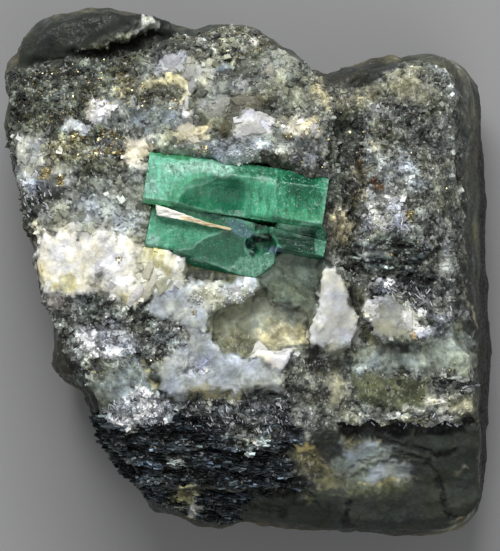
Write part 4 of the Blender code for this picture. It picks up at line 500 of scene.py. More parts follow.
# Pyrite: how many grains in each stretch, and their size in millimetres.
PYRITE = [
    (190, 0.14, 0.30, [(-28, 18), (-27.5, 24), (-22, 25.6), (-14, 26.4), (-14, 22), (-20, 19)]),
    (60, 0.16, 0.32, [(-25, 14), (-24.6, 16.4), (-19, 16.6), (-18.6, 14)]),
    (46, 0.20, 0.42, [(-18.6, 14.4), (-18.4, 17.8), (-15.2, 17), (-15.4, 14.2)]),
    (26, 0.22, 0.44, [(-21.8, 16.4), (-21, 17.2), (-19.8, 16.8), (-20.6, 16.2)]),
    (30, 0.20, 0.44, [(-25.4, 11.6), (-25, 12.8), (-23.8, 13.2), (-24.2, 11.8)]),
    (20, 0.20, 0.40, [(-23.4, 10.8), (-23.2, 12), (-22.4, 12.2), (-22.4, 10.8)]),
    (110, 0.14, 0.30, [(-8, 28.6), (-5, 30), (0, 30), (2.6, 27.6), (-2, 25.4), (-8, 26.6)]),
    (60, 0.14, 0.28, [(-16, 24), (-9, 24.6), (-7, 20), (-15, 20)]),
    (50, 0.14, 0.28, [(4, 19.4), (9.6, 19), (9.6, 13), (6, 12.6)]),
    (70, 0.14, 0.30, [(10, 20), (24, 20), (24, 2), (14, 2), (10, 8)]),
    (20, 0.18, 0.36, [(18.6, 7.8), (19.8, 7.8), (19.6, 6.6), (18.8, 6.4)]),
    (14, 0.16, 0.32, [(4, 17), (5, 17.2), (5, 16.4), (4.2, 16.2)]),
    (16, 0.14, 0.30, [(-7, 15.4), (-5.2, 15.6), (-4.6, 14.6), (-6.6, 14.6)]),
    (50, 0.12, 0.26, [(-20, -9), (-12, -8), (-8, -12), (-20, -13)]),
    (34, 0.12, 0.26, [(-2, -18), (4.4, -18), (4.4, -22), (-2, -22)]),
    (30, 0.12, 0.24, [(12, -11), (26, -8), (27, -17), (13, -17)]),
    (5, 0.16, 0.30, [(-7, -4.2), (-6.4, -4.2), (-6.4, -4.8), (-7, -4.8)]),
    (8, 0.14, 0.28, [(-16.4, 2.4), (-15.4, 2.2), (-15.5, 1.5), (-16.2, 1.6)]),
]


def linear(colour):
    """A colour given from 0 to 255 as light shows it, made linear."""
    values = np.asarray(colour, float) / 255.0
    return np.where(values <= 0.04045, values / 12.92, ((values + 0.055) / 1.055) ** 2.4)


def smooth_step(values):
    values = np.clip(values, 0.0, 1.0)
    return values * values * (3.0 - 2.0 * values)


def new_object(name, data):
    obj = bpy.data.objects.new(name, data)
    bpy.context.scene.collection.objects.link(obj)
    return obj


def evaluated_mesh(obj, name):
    """A new mesh of the object as its modifiers leave it."""
    graph = bpy.context.evaluated_depsgraph_get()
    graph.update()
    mesh = bpy.data.meshes.new_from_object(obj.evaluated_get(graph))
    mesh.name = name
    return mesh


def vertex_array(mesh):
    values = np.empty(len(mesh.vertices) * 3, np.float32)
    mesh.vertices.foreach_get("co", values)
    return values.reshape(-1, 3).astype(float)


def normal_array(mesh):
    values = np.empty(len(mesh.vertices) * 3, np.float32)
    mesh.vertex_normals.foreach_get("vector", values)
    return values.reshape(-1, 3).astype(float)


def edge_array(mesh):
    values = np.empty(len(mesh.edges) * 2, np.int32)
    mesh.edges.foreach_get("vertices", values)
    return values.reshape(-1, 2)


def set_vertices(mesh, places):
    mesh.vertices.foreach_set("co", places.astype(np.float32).ravel())
    mesh.update()


def store(mesh, name, values):
    attribute = mesh.color_attributes.new(name, "FLOAT_COLOR", "POINT")
    rgba = np.ones((len(values), 4), np.float32)
    rgba[:, :values.shape[1]] = values
    attribute.data.foreach_set("color", rgba.ravel())


def evened(places, edges, rounds):
    """The places after each has moved to the mean of its neighbours, a number of times."""
    first, second = edges.T
    count = len(places)
    neighbours = np.bincount(edges.ravel(), minlength=count)
    for _ in range(rounds):
        places = np.stack([
            (np.bincount(first, axis[second], count) + np.bincount(second, axis[first], count)) / neighbours
            for axis in places.T], 1)
    return places


def bulge(places, normals, edges, rounds):
    """How far each place stands out of the surface around it, in millimetres, below zero in a hollow."""
    return np.einsum("ij,ij->i", places - evened(places, edges, rounds), normals) / MM


def outline_depth(points, outline):
    """How far each point lies inside an outline, in millimetres, and below zero outside."""
    corners = np.asarray(outline, float)
    inside = np.zeros(len(points), bool)
    for a, b in zip(corners, np.roll(corners, -1, axis=0)):
        crosses = (a[1] > points[:, 1]) != (b[1] > points[:, 1])
        with np.errstate(divide="ignore", invalid="ignore"):
            at_x = a[0] + (points[:, 1] - a[1]) * (b[0] - a[0]) / (b[1] - a[1])
        inside ^= crosses & (points[:, 0] < at_x)
    distance = line_distance(points, [*outline, outline[0]])
    return np.where(inside, distance, -distance)


def line_distance(points, line):
    """How far each point lies from a line of straight pieces, in millimetres."""
    nearest = np.full(len(points), np.inf)
    for a, b in zip(line, line[1:]):
        a = np.array(a, float)
        along = np.array(b, float) - a
        share = np.clip(((points - a) @ along) / (along @ along), 0.0, 1.0)
        nearest = np.minimum(nearest, np.hypot(*(points - a - share[:, None] * along).T))
    return nearest


def wander(points, rate, amount):
    """Moves points about by noise, so that what is drawn with straight lines ends raggedly."""
    moved = points.copy()
    for row, (x, y) in enumerate(points):
        shift = noise.noise_vector(Vector((x * rate, y * rate, 3.7)))
        moved[row] += (shift.x * amount, shift.y * amount)
    return moved


def paint(places, paints, base, traits, ragged):
    """The colour and the traits of each place, from outlines painted one over another."""
    flat = wander(places[:, :2] / MM, 0.45, 0.8 * ragged)
    flat = wander(flat, 1.5, 0.55 * ragged)
    crumbs = np.array([noise.noise(Vector((x * 1.7, y * 1.7, 9.1))) for x, y in flat])
    colour = np.tile(linear(base), (len(places), 1))
    character = np.tile(np.array(traits, float), (len(places), 1))
    for shown, *trait, soft, outline in paints.values():
        reach = outline_depth(flat, outline) / (soft * (1.0 + ragged))
        weight = smooth_step(reach + 0.5 + 0.8 * ragged * crumbs)[:, None]
        colour = colour * (1.0 - weight) + linear(shown) * weight
        character = character * (1.0 - weight) + np.array(trait) * weight
    return colour, character, flat


def draw_lines(flat, colour, lines):
    """Draws cracks and veins into the colours, and returns how deep each place is cut, in millimetres."""
    cut = np.zeros(len(flat))
    for width, depth, shown, share, line in lines:
        weight = np.exp(-(line_distance(flat, line) / width) ** 2)
        colour += (linear(shown) - colour) * (share * weight)[:, None]
        cut = np.maximum(cut, depth * weight)
    return cut


def tilted_facets(point, span, slope):
    """A height that tilts at random over each cell of a broken surface."""
    cell = noise.voronoi(point / span)[1][0]
    slant = noise.cell_vector(cell * 29.0) * 2.0 - Vector((1.0, 1.0, 1.0))
    return slope * slant.dot(point - cell * span)


def lumps(point, span):
    """The shade of the lump at this point, from -1 to 1, and from 0 at its rim to 1 well inside it."""
    stirred = point + noise.noise_vector(point * 0.8 / span) * (0.45 * span)
    distances, centres = noise.voronoi(stirred / span)
    return noise.cell(centres[0] * 37.0), min((distances[1] - distances[0]) * 2.4, 1.0)


def layer_ends(point):
    """How far the broken ends of the layers stand out at this point."""
    across = point.dot(LAYER_NORMAL) + 0.6 * noise.noise(point * 0.22) + 0.12 * noise.noise(point * 1.1)
    level = across / LAYER
    layer = math.floor(level)
    stretch = math.floor(point.x * 0.22 + 1.5 * noise.noise(Vector((point.x * 0.3, layer * 3.3, 0.5))))
    reach = noise.cell(Vector((layer + 0.5, 1.3, stretch + 0.5)))
    return 0.42 * reach * (1.0 - 0.6 * (level - layer)) - 0.1


def rock_relief(places, normals, character):
    """How far each place moves out: lumps, tilted facets, grains and the ends of layers."""
    moved = np.zeros(len(places))
    for row, (place, (grain, layered, glassy)) in enumerate(zip(places, character)):
        point = Vector(place) / MM
        smooth = 1.0 - 0.75 * max(0.0, 1.0 - grain - glassy - layered)
        _, small = lumps(point, 1.1)
        _, large = lumps(point, 2.6)
        moved[row] = (
            0.16 * noise.fractal(point * 0.5, 0.9, 2.2, 3)
            + grain * (0.20 * small + 0.34 * large - 0.34)
            + tilted_facets(point, 2.8, (0.07 + 0.10 * grain + 0.06 * glassy) * smooth)
            + tilted_facets(point, 1.0, (0.02 + 0.26 * grain + 0.04 * glassy) * smooth)
            + 0.14 * grain * noise.noise(point * 2.4)
        )
        if layered > 0.05:
            moved[row] += 1.5 * layered * layer_ends(point)
    return moved


def add_banks(mesh):
    """Adds the banks to the rock's solid, for the even skin to join them to it."""
    bm = bmesh.new()
    bm.from_mesh(mesh)
    for bank in BANKS:
        corners = [bm.verts.new(Vector((x, y, z)) * MM) for x, y, top in bank for z in (BANK_FOOT, top)]
        bmesh.ops.convex_hull(bm, input=corners)
    bm.to_mesh(mesh)
    bm.free()


def fine_rock_mesh():
    """The rock's solid with a fine, even skin, finer still on the face."""
    coarse = new_object("rock_skin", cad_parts["matrix"].data.copy())
    add_banks(coarse.data)
    remesh = coarse.modifiers.new("skin", "REMESH")
    remesh.mode = "VOXEL"
    remesh.voxel_size = ROCK_VOXEL * MM
    soften = coarse.modifiers.new("soften", "SMOOTH")
    soften.factor = 0.5
    soften.iterations = 1
    mesh = evaluated_mesh(coarse, "rock")
    bpy.data.objects.remove(coarse)
    bm = bmesh.new()
    bm.from_mesh(mesh)
    bm.normal_update()
    on_face = [f for f in bm.faces if f.normal.z > 0.12 and f.calc_center_median().z > FACE_FLOOR * MM]
    edges = list(dict.fromkeys(edge for face in on_face for edge in face.edges))
    bmesh.ops.subdivide_edges(bm, edges=edges, cuts=1, use_grid_fill=True)
    bmesh.ops.triangulate(bm, faces=bm.faces)
    bm.to_mesh(mesh)
    bm.free()
    return mesh


def hug_crystals(places):
    """Closes the rock up to the crystals that sit in it, and returns how deep in their seats each place is."""
    seated = np.zeros(len(places))
    for node in ("emerald_upper", "emerald_lower"):
        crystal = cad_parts[node].data
        tree = BVHTree.FromPolygons([v.co for v in crystal.vertices], [p.vertices for p in crystal.polygons])
        low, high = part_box(node)
        margin = HUG * MM
        near = np.all((places > np.array(low) - margin) & (places < np.array(high) + margin), axis=1)
        for row in np.nonzero(near)[0]:
            place = Vector(places[row])
            hit, normal, _, distance = tree.find_nearest(place, margin)
            if hit is not None:
                pull = float(smooth_step((margin - distance) / (0.45 * margin)))
                places[row] = place.lerp(hit + normal * (HUG_GAP * MM), pull)
                depth = (high.z - place.z) / MM
                seated[row] = max(seated[row], pull * min(max(depth - 2.8, 0.0), 1.0))
    return seated


def mottle(places, character):
    """How much lighter or darker each place is than its stretch, in clots and in grit, with painted light and shade,
    and how warm.
    """
    factors = np.empty((len(places), 3))
    for row, (place, (grain, layered, glassy)) in enumerate(zip(places, character)):
        point = Vector(place) / MM
        clots = noise.fractal(point * 0.42, 0.55, 2.1, 5)
        small_shade, small = lumps(point, 1.1)
        large_shade, large = lumps(point, 2.6)
        # painted light: layer ends that stand out are painted lighter, as if they catch the light, and sunken ones
        # darker
        if layered > 0.05:
            clots += 1.6 * layered * layer_ends(point)
        # darker in the crevices between lumps: dark grain joints, with painted shade
        clots += 0.34 * small_shade + 0.26 * large_shade - 0.30 * (1.0 - small) ** 2 - 0.35 * (1.0 - large) ** 3
        warmth = noise.fractal(point * 0.33 + Vector((40.0, 0.0, 0.0)), 0.8, 2.1, 3)
        lightness = math.exp((0.12 + 1.05 * grain) * clots + 0.10 * grain)
        factors[row] = (lightness * (1.0 + 0.10 * warmth), lightness * (1.0 + 0.05 * warmth), lightness * (1.0 - 0.20 * warmth))
    return factors


def wall_colour(places):
    """Dark shale with pale streaks along its length, as on the right wall and the other sides, with painted light and
    shade on the right wall.
    """
    streaks = np.empty(len(places))
    patches = np.empty(len(places))
    for row, place in enumerate(places):
        x, y, z = place / MM
        streaks[row] = noise.fractal(Vector((x * 0.9, y * 0.10, z * 0.5)), 0.8, 2.1, 3)
        patches[row] = noise.fractal(Vector((x, y, z)) * 0.14, 0.8, 2.1, 2)
    right = smooth_step((places[:, 0] / MM - 20.0) / 5.0)
    # painted light: the right wall is lighter, with paler streaks, near the face
    face_light = smooth_step((places[:, 2] / MM - 6.0) / 10.0)
    pale = (smooth_step((streaks + 0.3) / 0.9) * (0.15 + (0.12 + 0.4 * face_light) * right))[:, None]
    brown = smooth_step(patches / 0.5)[:, None]
    colour = linear(SIDE_COLOUR) * (1.0 - brown) + linear(SIDE_BROWN) * brown
    colour = colour * (1.0 - pale) + linear(WALL_STREAK) * pale
    # painted shade: the wall turns almost black past its far right edge
    far_edge_shade = smooth_step((places[:, 0] / MM - 26.6) / 2.0)[:, None]
    return colour * (1.0 + 1.6 * (face_light * right)[:, None]) * (1.0 - 0.92 * far_edge_shade)


def smooth_stretches(places, normals, edges):
    """Evens out the sawn-looking right wall and the smooth slate under the ledge."""
    x, y, z = places.T / MM
    wall = smooth_step((x - 23.0) / 3.0) * smooth_step((0.7 - normals[:, 2]) / 0.4)
    slate = smooth_step((x - 4.0) / 4.0) * smooth_step((-20.0 - y) / 2.0)
    share = (np.maximum(wall, slate) * smooth_step((z - 1.0) / 2.0))[:, None]
    return places * (1.0 - share) + evened(places, edges, 16) * share


def build_rock(material):
    mesh = fine_rock_mesh()
    edges = edge_array(mesh)
    places = smooth_stretches(vertex_array(mesh), normal_array(mesh), edges)
    set_vertices(mesh, places)
    normals = normal_array(mesh)
    colour, character, flat = paint(places, PAINTS, SIDE_COLOUR, SIDE_TRAITS, 1.0)
    cut = draw_lines(flat, colour, LINES)
    facing = smooth_step((normals[:, 2] + 0.05) / 0.3) * smooth_step((places[:, 2] / MM - 12.0) / 6.0)
    colour = colour * facing[:, None] + wall_colour(places) * (1.0 - facing)[:, None]
    smooth_wall = 1.0 - 0.9 * smooth_step((places[:, 0] / MM - 20.0) / 5.0)
    side = np.array(SIDE_TRAITS) * smooth_wall[:, None]
    character = character * facing[:, None] + side * (1.0 - facing)[:, None]
    moved = rock_relief(places, normals, character) - cut * facing
    moved *= smooth_step(places[:, 2] / MM / 1.5)
    places = places + normals * (moved * MM)[:, None]
    seated = hug_crystals(places)
    set_vertices(mesh, places)
    normals = normal_array(mesh)
    colour *= mottle(places, character)

    # painted light and shade: lighter on edges and knobs and darker in hollows, at a fine and a broad scale, as rubbed
    # wear and dirt with painted light and shade; places deep in the crystals' seats are left unshaded
    edge_wear_and_shading = np.clip(1.0 + 1.5 * bulge(places, normals, edges, 3), 0.55, 1.5)
    broad_dirt_and_shading = np.clip(1.0 + 0.35 * bulge(places, normals, edges, 30), 0.5, 1.2)
    shade = edge_wear_and_shading * broad_dirt_and_shading * (1.0 - seated) + seated
    colour = (colour * (1.0 - seated)[:, None] + linear(SEAT_COLOUR) * seated[:, None]) * shade[:, None]
    store(mesh, "tone", np.clip(colour, 0.0, 0.9))
    store(mesh, "character", character * (1.0 - seated)[:, None])
    mesh.shade_smooth()
    mesh.materials.clear()
    mesh.materials.append(material)
    rock = new_object("rock", mesh)
    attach(rock, "root")
    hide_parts("matrix")
    # the colour handed on to the scattered pieces carries this painted light and shade
    return Surface(places, normals, colour, character * (1.0 - seated)[:, None])


class Surface:
    """The rock's face as places, with the way each faces, its colour with its painted light and shade, and its traits.
    """

    def __init__(self, places, normals, colour, character):
        on_face = (normals[:, 2] > 0.05) & (places[:, 2] > FACE_FLOOR * MM)
        self.places = places[on_face]
        self.normals = normals[on_face]
        self.colour = colour[on_face]
        self.character = character[on_face]
        self.flat = self.places[:, :2] / MM

    def pick(self, rng, count, weight):
        """Rows chosen at random, the likelier the higher their weight."""
        weight = np.clip(weight, 0.0, None)
        count = min(count, int(np.count_nonzero(weight)))
        return rng.choice(len(weight), size=count, replace=False, p=weight / weight.sum())


class Nodes:
    """Short ways to add and join the nodes of one material."""

    def __init__(self, name):
        self.material = bpy.data.materials.new(name)
        self.material.use_nodes = True
        self.tree = self.material.node_tree
        self.shader = self.tree.nodes["Principled BSDF"]
        self.output = self.tree.nodes["Material Output"]

    def add(self, kind, inputs=(), **settings):
        node = self.tree.nodes.new("ShaderNode" + kind)
        for key, value in settings.items():
            setattr(node, key, value)
        for key, value in dict(inputs).items():
            self.feed(node.inputs[key], value)
        return node

    def feed(self, socket, value):
        if isinstance(value, bpy.types.NodeSocket):
            self.tree.links.new(value, socket)
        else:
            socket.default_value = value

    def math(self, operation, a, b=0.0):
        return self.add("Math", {0: a, 1: b}, operation=operation).outputs[0]

    def sum(self, *values):
        total = values[0]
        for value in values[1:]:
            total = self.math("ADD", total, value)
        return total

    def times(self, *values):
        total = values[0]
        for value in values[1:]:
            total = self.math("MULTIPLY", total, value)
        return total

    def spread(self, value, amount):
        """A value from 0 to 1 turned into one from minus half the amount to half the amount."""
        return self.times(self.math("SUBTRACT", value, 0.5), amount)

    def vector(self, operation, a, b=(0.0, 0.0, 0.0), output=0):
        return self.add("VectorMath", {0: a, 1: b}, operation=operation).outputs[output]

    def scaled(self, vector, scale):
        node = self.add("VectorMath", {0: vector}, operation="SCALE")
        self.feed(node.inputs["Scale"], scale)
        return node.outputs[0]

    def mix(self, share, a, b, blend="MIX"):
        node = self.add("Mix", data_type="RGBA", blend_type=blend)
        self.feed(node.inputs[0], share)
        self.feed(node.inputs[6], a)
        self.feed(node.inputs[7], b)
        return node.outputs[2]

    def times_colour(self, colour, factor):
        grey = self.add("CombineColor", {0: factor, 1: factor, 2: factor}).outputs[0]
        return self.mix(1.0, colour, grey, "MULTIPLY")

    def ramp(self, value, low, high, to_low=0.0, to_high=1.0):
        node = self.add("MapRange", {0: value, 1: low, 2: high, 3: to_low, 4: to_high}, clamp=True)
        return node.outputs[0]

    def split(self, colour):
        return self.add("SeparateColor", {0: colour}).outputs

    def attribute(self, name):
        return self.add("Attribute", attribute_name=name).outputs["Color"]

    def noise(self, vector, scale, detail=2.0, rough=0.5, distortion=0.0):
        node = self.add("TexNoise", {
            "Vector": vector, "Scale": scale, "Detail": detail, "Roughness": rough, "Distortion": distortion})
        return node.outputs[0]

    def cells(self, vector, scale):
        return self.add("TexVoronoi", {"Vector": vector, "Scale": scale})

    def facets(self, vector, scale):
        """A height in cell widths that tilts at random over each cell, and the cell's random colour."""
        cells = self.cells(vector, scale)
        slant = self.vector("SUBTRACT", cells.outputs["Color"], (0.5, 0.5, 0.5))
        local = self.vector("SUBTRACT", vector, cells.outputs["Position"])
        height = self.vector("DOT_PRODUCT", slant, local, output=1)
        return height, self.split(cells.outputs["Color"])

    def millimetres(self):
        """Places on the object in millimetres, a little stirred so that cells have no straight sides."""
        plain = self.scaled(self.add("TexCoord").outputs["Object"], 1000.0)
        stir = self.add("TexNoise", {"Vector": plain, "Scale": 2.4, "Detail": 2.0}).outputs["Color"]
        stir = self.scaled(self.vector("SUBTRACT", stir, (0.5, 0.5, 0.5)), 0.45)
        return plain, self.vector("ADD", plain, stir)


def rock_material():
    nodes = Nodes("shale_and_calcite")
    plain, place = nodes.millimetres()
    tone = nodes.attribute("tone")
    grain, layered, glassy = nodes.split(nodes.attribute("character"))

    coarse, coarse_cell = nodes.facets(place, 1.6)
    small, small_cell = nodes.facets(place, 3.9)
    fine = nodes.noise(plain, 6.5, 4.0, 0.75)
    cloud = nodes.noise(plain, 1.3, 5.0, 0.7)
    broad = nodes.noise(plain, 0.4, 3.0, 0.6)

    turned = nodes.add("Mapping", {"Vector": place, "Rotation": (math.radians(30.0), 0.0, math.radians(-6.0))})
    along = nodes.vector("MULTIPLY", turned.outputs[0], (0.8, 4.6, 1.6))
    flake, flake_cell = nodes.facets(along, 1.0)
    streak = nodes.noise(along, 0.7, 5.0, 0.7, 0.4)
    needle_place = nodes.vector("MULTIPLY", place, (7.0, 2.2, 3.0))
    needle_cell = nodes.split(nodes.cells(needle_place, 1.0).outputs["Color"])

    speckle = nodes.times(grain, nodes.sum(nodes.spread(coarse_cell[0], 0.5), nodes.spread(small_cell[0], 0.8)))
    soft = nodes.sum(nodes.spread(cloud, 0.9), nodes.spread(fine, 0.8))
    soft = nodes.times(soft, nodes.sum(0.16, nodes.times(grain, 0.9)))
    factor = nodes.math("MAXIMUM", nodes.sum(1.0, speckle, soft), 0.10)
    # painted glints: over their random tone, the palest flakes and streaks of the layered shale are made light, as
    # glints off its plates
    flake_tone_and_glint = nodes.times(flake_cell[0], flake_cell[0], flake_cell[0])
    flake_tone_and_glint = nodes.sum(0.15, nodes.times(flake_tone_and_glint, 2.6), nodes.ramp(streak, 0.50, 0.72, 0.0, 1.3))
    flaky = nodes.math("ADD", nodes.times(layered, nodes.math("SUBTRACT", flake_tone_and_glint, 1.0)), 1.0)
    colour = nodes.times_colour(tone, nodes.times(factor, flaky))

    # painted shade: near-black pits, as the shade in them
    pore_shade = nodes.times(nodes.ramp(small_cell[1], 0.25, 0.18), nodes.ramp(grain, 0.25, 0.9))
    colour = nodes.mix(nodes.times(pore_shade, 0.55), colour, (0.012, 0.013, 0.011, 1.0))
    # pale grains with painted glints: small light specks in the grainy rock
    flecks_and_glints = nodes.times(nodes.ramp(small_cell[2], 0.90, 0.94), nodes.ramp(grain, 0.2, 0.8))
    colour = nodes.mix(nodes.times(flecks_and_glints, 0.40), colour, (0.62, 0.62, 0.58, 1.0))
    # painted glints: needle-shaped light specks, also less rough
    needles = nodes.times(
        nodes.ramp(needle_cell[0], 0.92, 0.95), nodes.ramp(cloud, 0.45, 0.6), nodes.ramp(grain, 0.15, 0.6))
    colour = nodes.mix(nodes.times(needles, 0.55), colour, (0.80, 0.80, 0.78, 1.0))
    yellow = nodes.times(nodes.ramp(broad, 0.52, 0.66), nodes.ramp(cloud, 0.42, 0.62))
    colour = nodes.mix(nodes.times(yellow, 0.35), colour, (0.94, 0.86, 0.58, 1.0), "MULTIPLY")
    blue = nodes.times(nodes.ramp(broad, 0.46, 0.34), nodes.ramp(fine, 0.45, 0.6))
    colour = nodes.mix(nodes.times(blue, 0.22), colour, (0.86, 0.93, 1.0, 1.0), "MULTIPLY")
    nodes.feed(nodes.shader.inputs["Base Color"], colour)

    rough = nodes.sum(
        0.58, nodes.spread(small_cell[2], 0.5), nodes.times(glassy, -0.20), nodes.times(layered, -0.22),
        nodes.times(needles, -0.3))
    nodes.feed(nodes.shader.inputs["Roughness"], nodes.math("MAXIMUM", rough, 0.14))
    nodes.shader.inputs["IOR"].default_value = 1.5
    nodes.shader.inputs["Specular IOR Level"].default_value = 0.28

    height = nodes.sum(
        nodes.times(coarse, nodes.sum(nodes.times(grain, 0.55), nodes.times(glassy, 0.14), 0.03)),
        nodes.times(small, nodes.sum(nodes.times(grain, 0.50), nodes.times(glassy, 0.10), 0.03)),
        nodes.times(flake, layered, 0.10),
        nodes.times(streak, layered, 0.25),
        nodes.times(fine, nodes.sum(nodes.times(grain, 0.04), 0.015)),
        nodes.times(cloud, nodes.sum(nodes.times(grain, 0.08), 0.03)),
    )
    bump = nodes.add("Bump", {"Height": height, "Strength": 1.0, "Distance": MM})
    nodes.feed(nodes.shader.inputs["Normal"], bump.outputs[0])
    return nodes.material


def emerald_material():
    nodes = Nodes("emerald_beryl")
    plain, place = nodes.millimetres()
    tone = nodes.attribute("tone")
    frost, veils, specks = nodes.split(nodes.attribute("character"))
    small, small_cell = nodes.facets(place, 3.4)
    stretched = nodes.vector("MULTIPLY", place, (1.9, 0.55, 0.55))
    veil = nodes.noise(stretched, 1.0, 5.0, 0.72, 0.8)
    fine = nodes.noise(plain, 5.5, 4.0, 0.75)
    cloud = nodes.noise(plain, 0.9, 3.0, 0.6, 0.5)
    factor = nodes.sum(
        1.0, nodes.times(nodes.spread(nodes.ramp(veil, 0.38, 0.62), 0.9), veils), nodes.spread(fine, 0.85),
        nodes.spread(cloud, 0.9), nodes.times(nodes.spread(small_cell[0], 0.8), frost))
    colour = nodes.times_colour(tone, nodes.math("MAXIMUM", factor, 0.2))
    # frost specks with painted sparkle: pale specks on the frosted and speckled stretches, as tiny highlights
    flecks_and_glints = nodes.times(nodes.ramp(small_cell[1], 0.86, 0.90), nodes.ramp(fine, 0.46, 0.56))
    flecks_and_glints = nodes.times(flecks_and_glints, nodes.sum(nodes.times(frost, 0.8), nodes.times(specks, 0.25)))
    colour = nodes.mix(flecks_and_glints, colour, (0.62, 0.92, 0.80, 1.0))
    tiny, tiny_cell = nodes.facets(place, 7.5)
    glints = nodes.times(
        nodes.ramp(tiny_cell[0], 0.90, 0.94), nodes.ramp(cloud, 0.44, 0.60),
        nodes.sum(0.12, nodes.times(specks, 0.45), nodes.times(frost, 0.8)))
    colour = nodes.mix(glints, colour, (0.82, 1.0, 0.92, 1.0))
    dark = nodes.times(nodes.ramp(small_cell[2], 0.12, 0.08), nodes.sum(nodes.times(specks, 0.6), 0.05))
    colour = nodes.mix(dark, colour, (0.004, 0.07, 0.04, 1.0))
    nodes.feed(nodes.shader.inputs["Base Color"], colour)
    nodes.feed(nodes.shader.inputs["Roughness"], nodes.sum(0.16, nodes.times(frost, 0.4)))
    nodes.shader.inputs["IOR"].default_value = 1.58
    nodes.shader.inputs["Specular IOR Level"].default_value = 0.16
    nodes.shader.inputs["Transmission Weight"].default_value = 0.45
    height = nodes.sum(
        nodes.times(small, nodes.sum(nodes.times(frost, 0.22), 0.12)),
        nodes.times(fine, nodes.sum(nodes.times(frost, 0.05), 0.035)),
        nodes.times(veil, 0.03), nodes.times(cloud, 0.10))
    bump = nodes.add("Bump", {"Height": height, "Strength": 0.8, "Distance": MM})
    nodes.feed(nodes.shader.inputs["Normal"], bump.outputs[0])
    absorb = nodes.add("VolumeAbsorption", {"Color": (0.25, 0.80, 0.55, 1.0), "Density": 150.0})
    nodes.tree.links.new(absorb.outputs[0], nodes.output.inputs["Volume"])
    return nodes.material


def pyrite_material():
    nodes = Nodes("pyrite")
    plain, _ = nodes.millimetres()
    fine = nodes.noise(plain, 3.0, 3.0, 0.6)
    colour = nodes.mix(nodes.ramp(fine, 0.35, 0.6), (0.20, 0.14, 0.05, 1.0), (0.70, 0.62, 0.36, 1.0))
    nodes.feed(nodes.shader.inputs["Base Color"], colour)
    nodes.feed(nodes.shader.inputs["Roughness"], nodes.ramp(fine, 0.3, 0.7, 0.5, 0.3))
    nodes.shader.inputs["Metallic"].default_value = 1.0
    bump = nodes.add("Bump", {"Height": fine, "Strength": 0.3, "Distance": 0.05 * MM})
    nodes.feed(nodes.shader.inputs["Normal"], bump.outputs[0])
    return nodes.material


def close_gap(places):
    """Grows the lower crystal's right half up against the upper crystal."""
    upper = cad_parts["emerald_upper"].data
    tree = BVHTree.FromPolygons([v.co for v in upper.vertices], [p.vertices for p in upper.polygons])
    for row, place in enumerate(places):
        share = float(smooth_step((place[0] / MM - GAP_START) / 1.5))
        hit, _, _, distance = tree.find_nearest(Vector(place), GAP_REACH * MM)
        if hit is not None and share > 0.0 and distance > HUG_GAP * MM:
            pull = share * float(smooth_step((GAP_REACH * MM - distance) / (0.45 * GAP_REACH * MM)))
            places[row] = Vector(place).lerp(hit, pull * (1.0 - HUG_GAP * MM / distance))


def fade_scar(places, normals, edges):
    """Lets the hollow of the scar run out softly on its right."""
    x, y = places[:, :2].T / MM
    share = smooth_step((x + 1.5) / 2.0) * smooth_step((SCAR_END - x) / 0.6) * smooth_step(normals[:, 2] / 0.5)
    share *= smooth_step((11.9 - y) / 0.5) * smooth_step((y - 6.3) / 0.5)
    return places + (evened(places, edges, 90) - places) * share[:, None]


def build_emerald(node, material):
    """A crystal closer than the solid shows it: rubbed, frosted edges made pale with painted highlight, growth lines
    along it, frosting and veils.
    """
    source = new_object(node + "_source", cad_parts[node].data.copy())
    remesh = source.modifiers.new("skin", "REMESH")
    remesh.mode = "VOXEL"
    remesh.voxel_size = EMERALD_VOXEL * MM
    mesh = evaluated_mesh(source, node + "_crystal")
    bpy.data.objects.remove(source)
    places = vertex_array(mesh)
    normals = normal_array(mesh)
    edges = edge_array(mesh)
    if node == "emerald_upper":
        places = fade_scar(places, normals, edges)
    colour, character, flat = paint(places, EMERALD_PAINTS, EMERALD_BASE, EMERALD_TRAITS, 0.25)
    draw_lines(wander(flat, 1.3, 0.22), colour, EMERALD_LINES)
    # painted highlight: edges made pale, as frosted wear and as light along them
    edge_wear_and_shading = smooth_step(bulge(places, normals, edges, 4) / 0.035)
    patchy = np.array([noise.noise(Vector(place) * 900.0) for place in places])
    edge_wear_and_shading *= smooth_step((patchy + 0.35) / 0.7)
    colour += (linear(EMERALD_WORN_EDGE_LIGHT) - colour) * (0.45 * edge_wear_and_shading)[:, None]
    character[:, 0] = np.maximum(character[:, 0], 0.7 * edge_wear_and_shading)
    moved = np.zeros(len(places))
    for row, place in enumerate(places):
        point = Vector(place) / MM
        moved[row] = 0.016 * noise.fractal(Vector((point.x * 0.4, point.y * 2.6, point.z * 2.6)), 1.0, 2.0, 2)
        moved[row] += 0.06 * character[row, 0] * (noise.fractal(point * 2.2, 0.8, 2.2, 2) - 0.3)
        if node == "emerald_lower":
            ragged = math.exp(-(((point - HOLE).xy.length / 1.7) ** 4))
            moved[row] += 0.42 * ragged * noise.fractal(point * 0.9, 0.8, 2.2, 3)
    places = places + normals * (moved * MM)[:, None]
    if node == "emerald_lower":
        x, y, z = places.T / MM
        share = smooth_step((x - 2.6) / 1.0) * smooth_step((y - 4.3) / 0.6) * smooth_step((normals[:, 2] - 0.1) / 0.3)
        places[:, 2] += np.maximum(SHELF_TOP - z, 0.0) * share * MM
        close_gap(places)
    set_vertices(mesh, places)
    store(mesh, "tone", colour)
    store(mesh, "character", character)
    mesh.shade_smooth()
    mesh.materials.clear()
    mesh.materials.append(material)
    crystal = new_object(node + "_crystal", mesh)
    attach(crystal, "root")
    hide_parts(node)


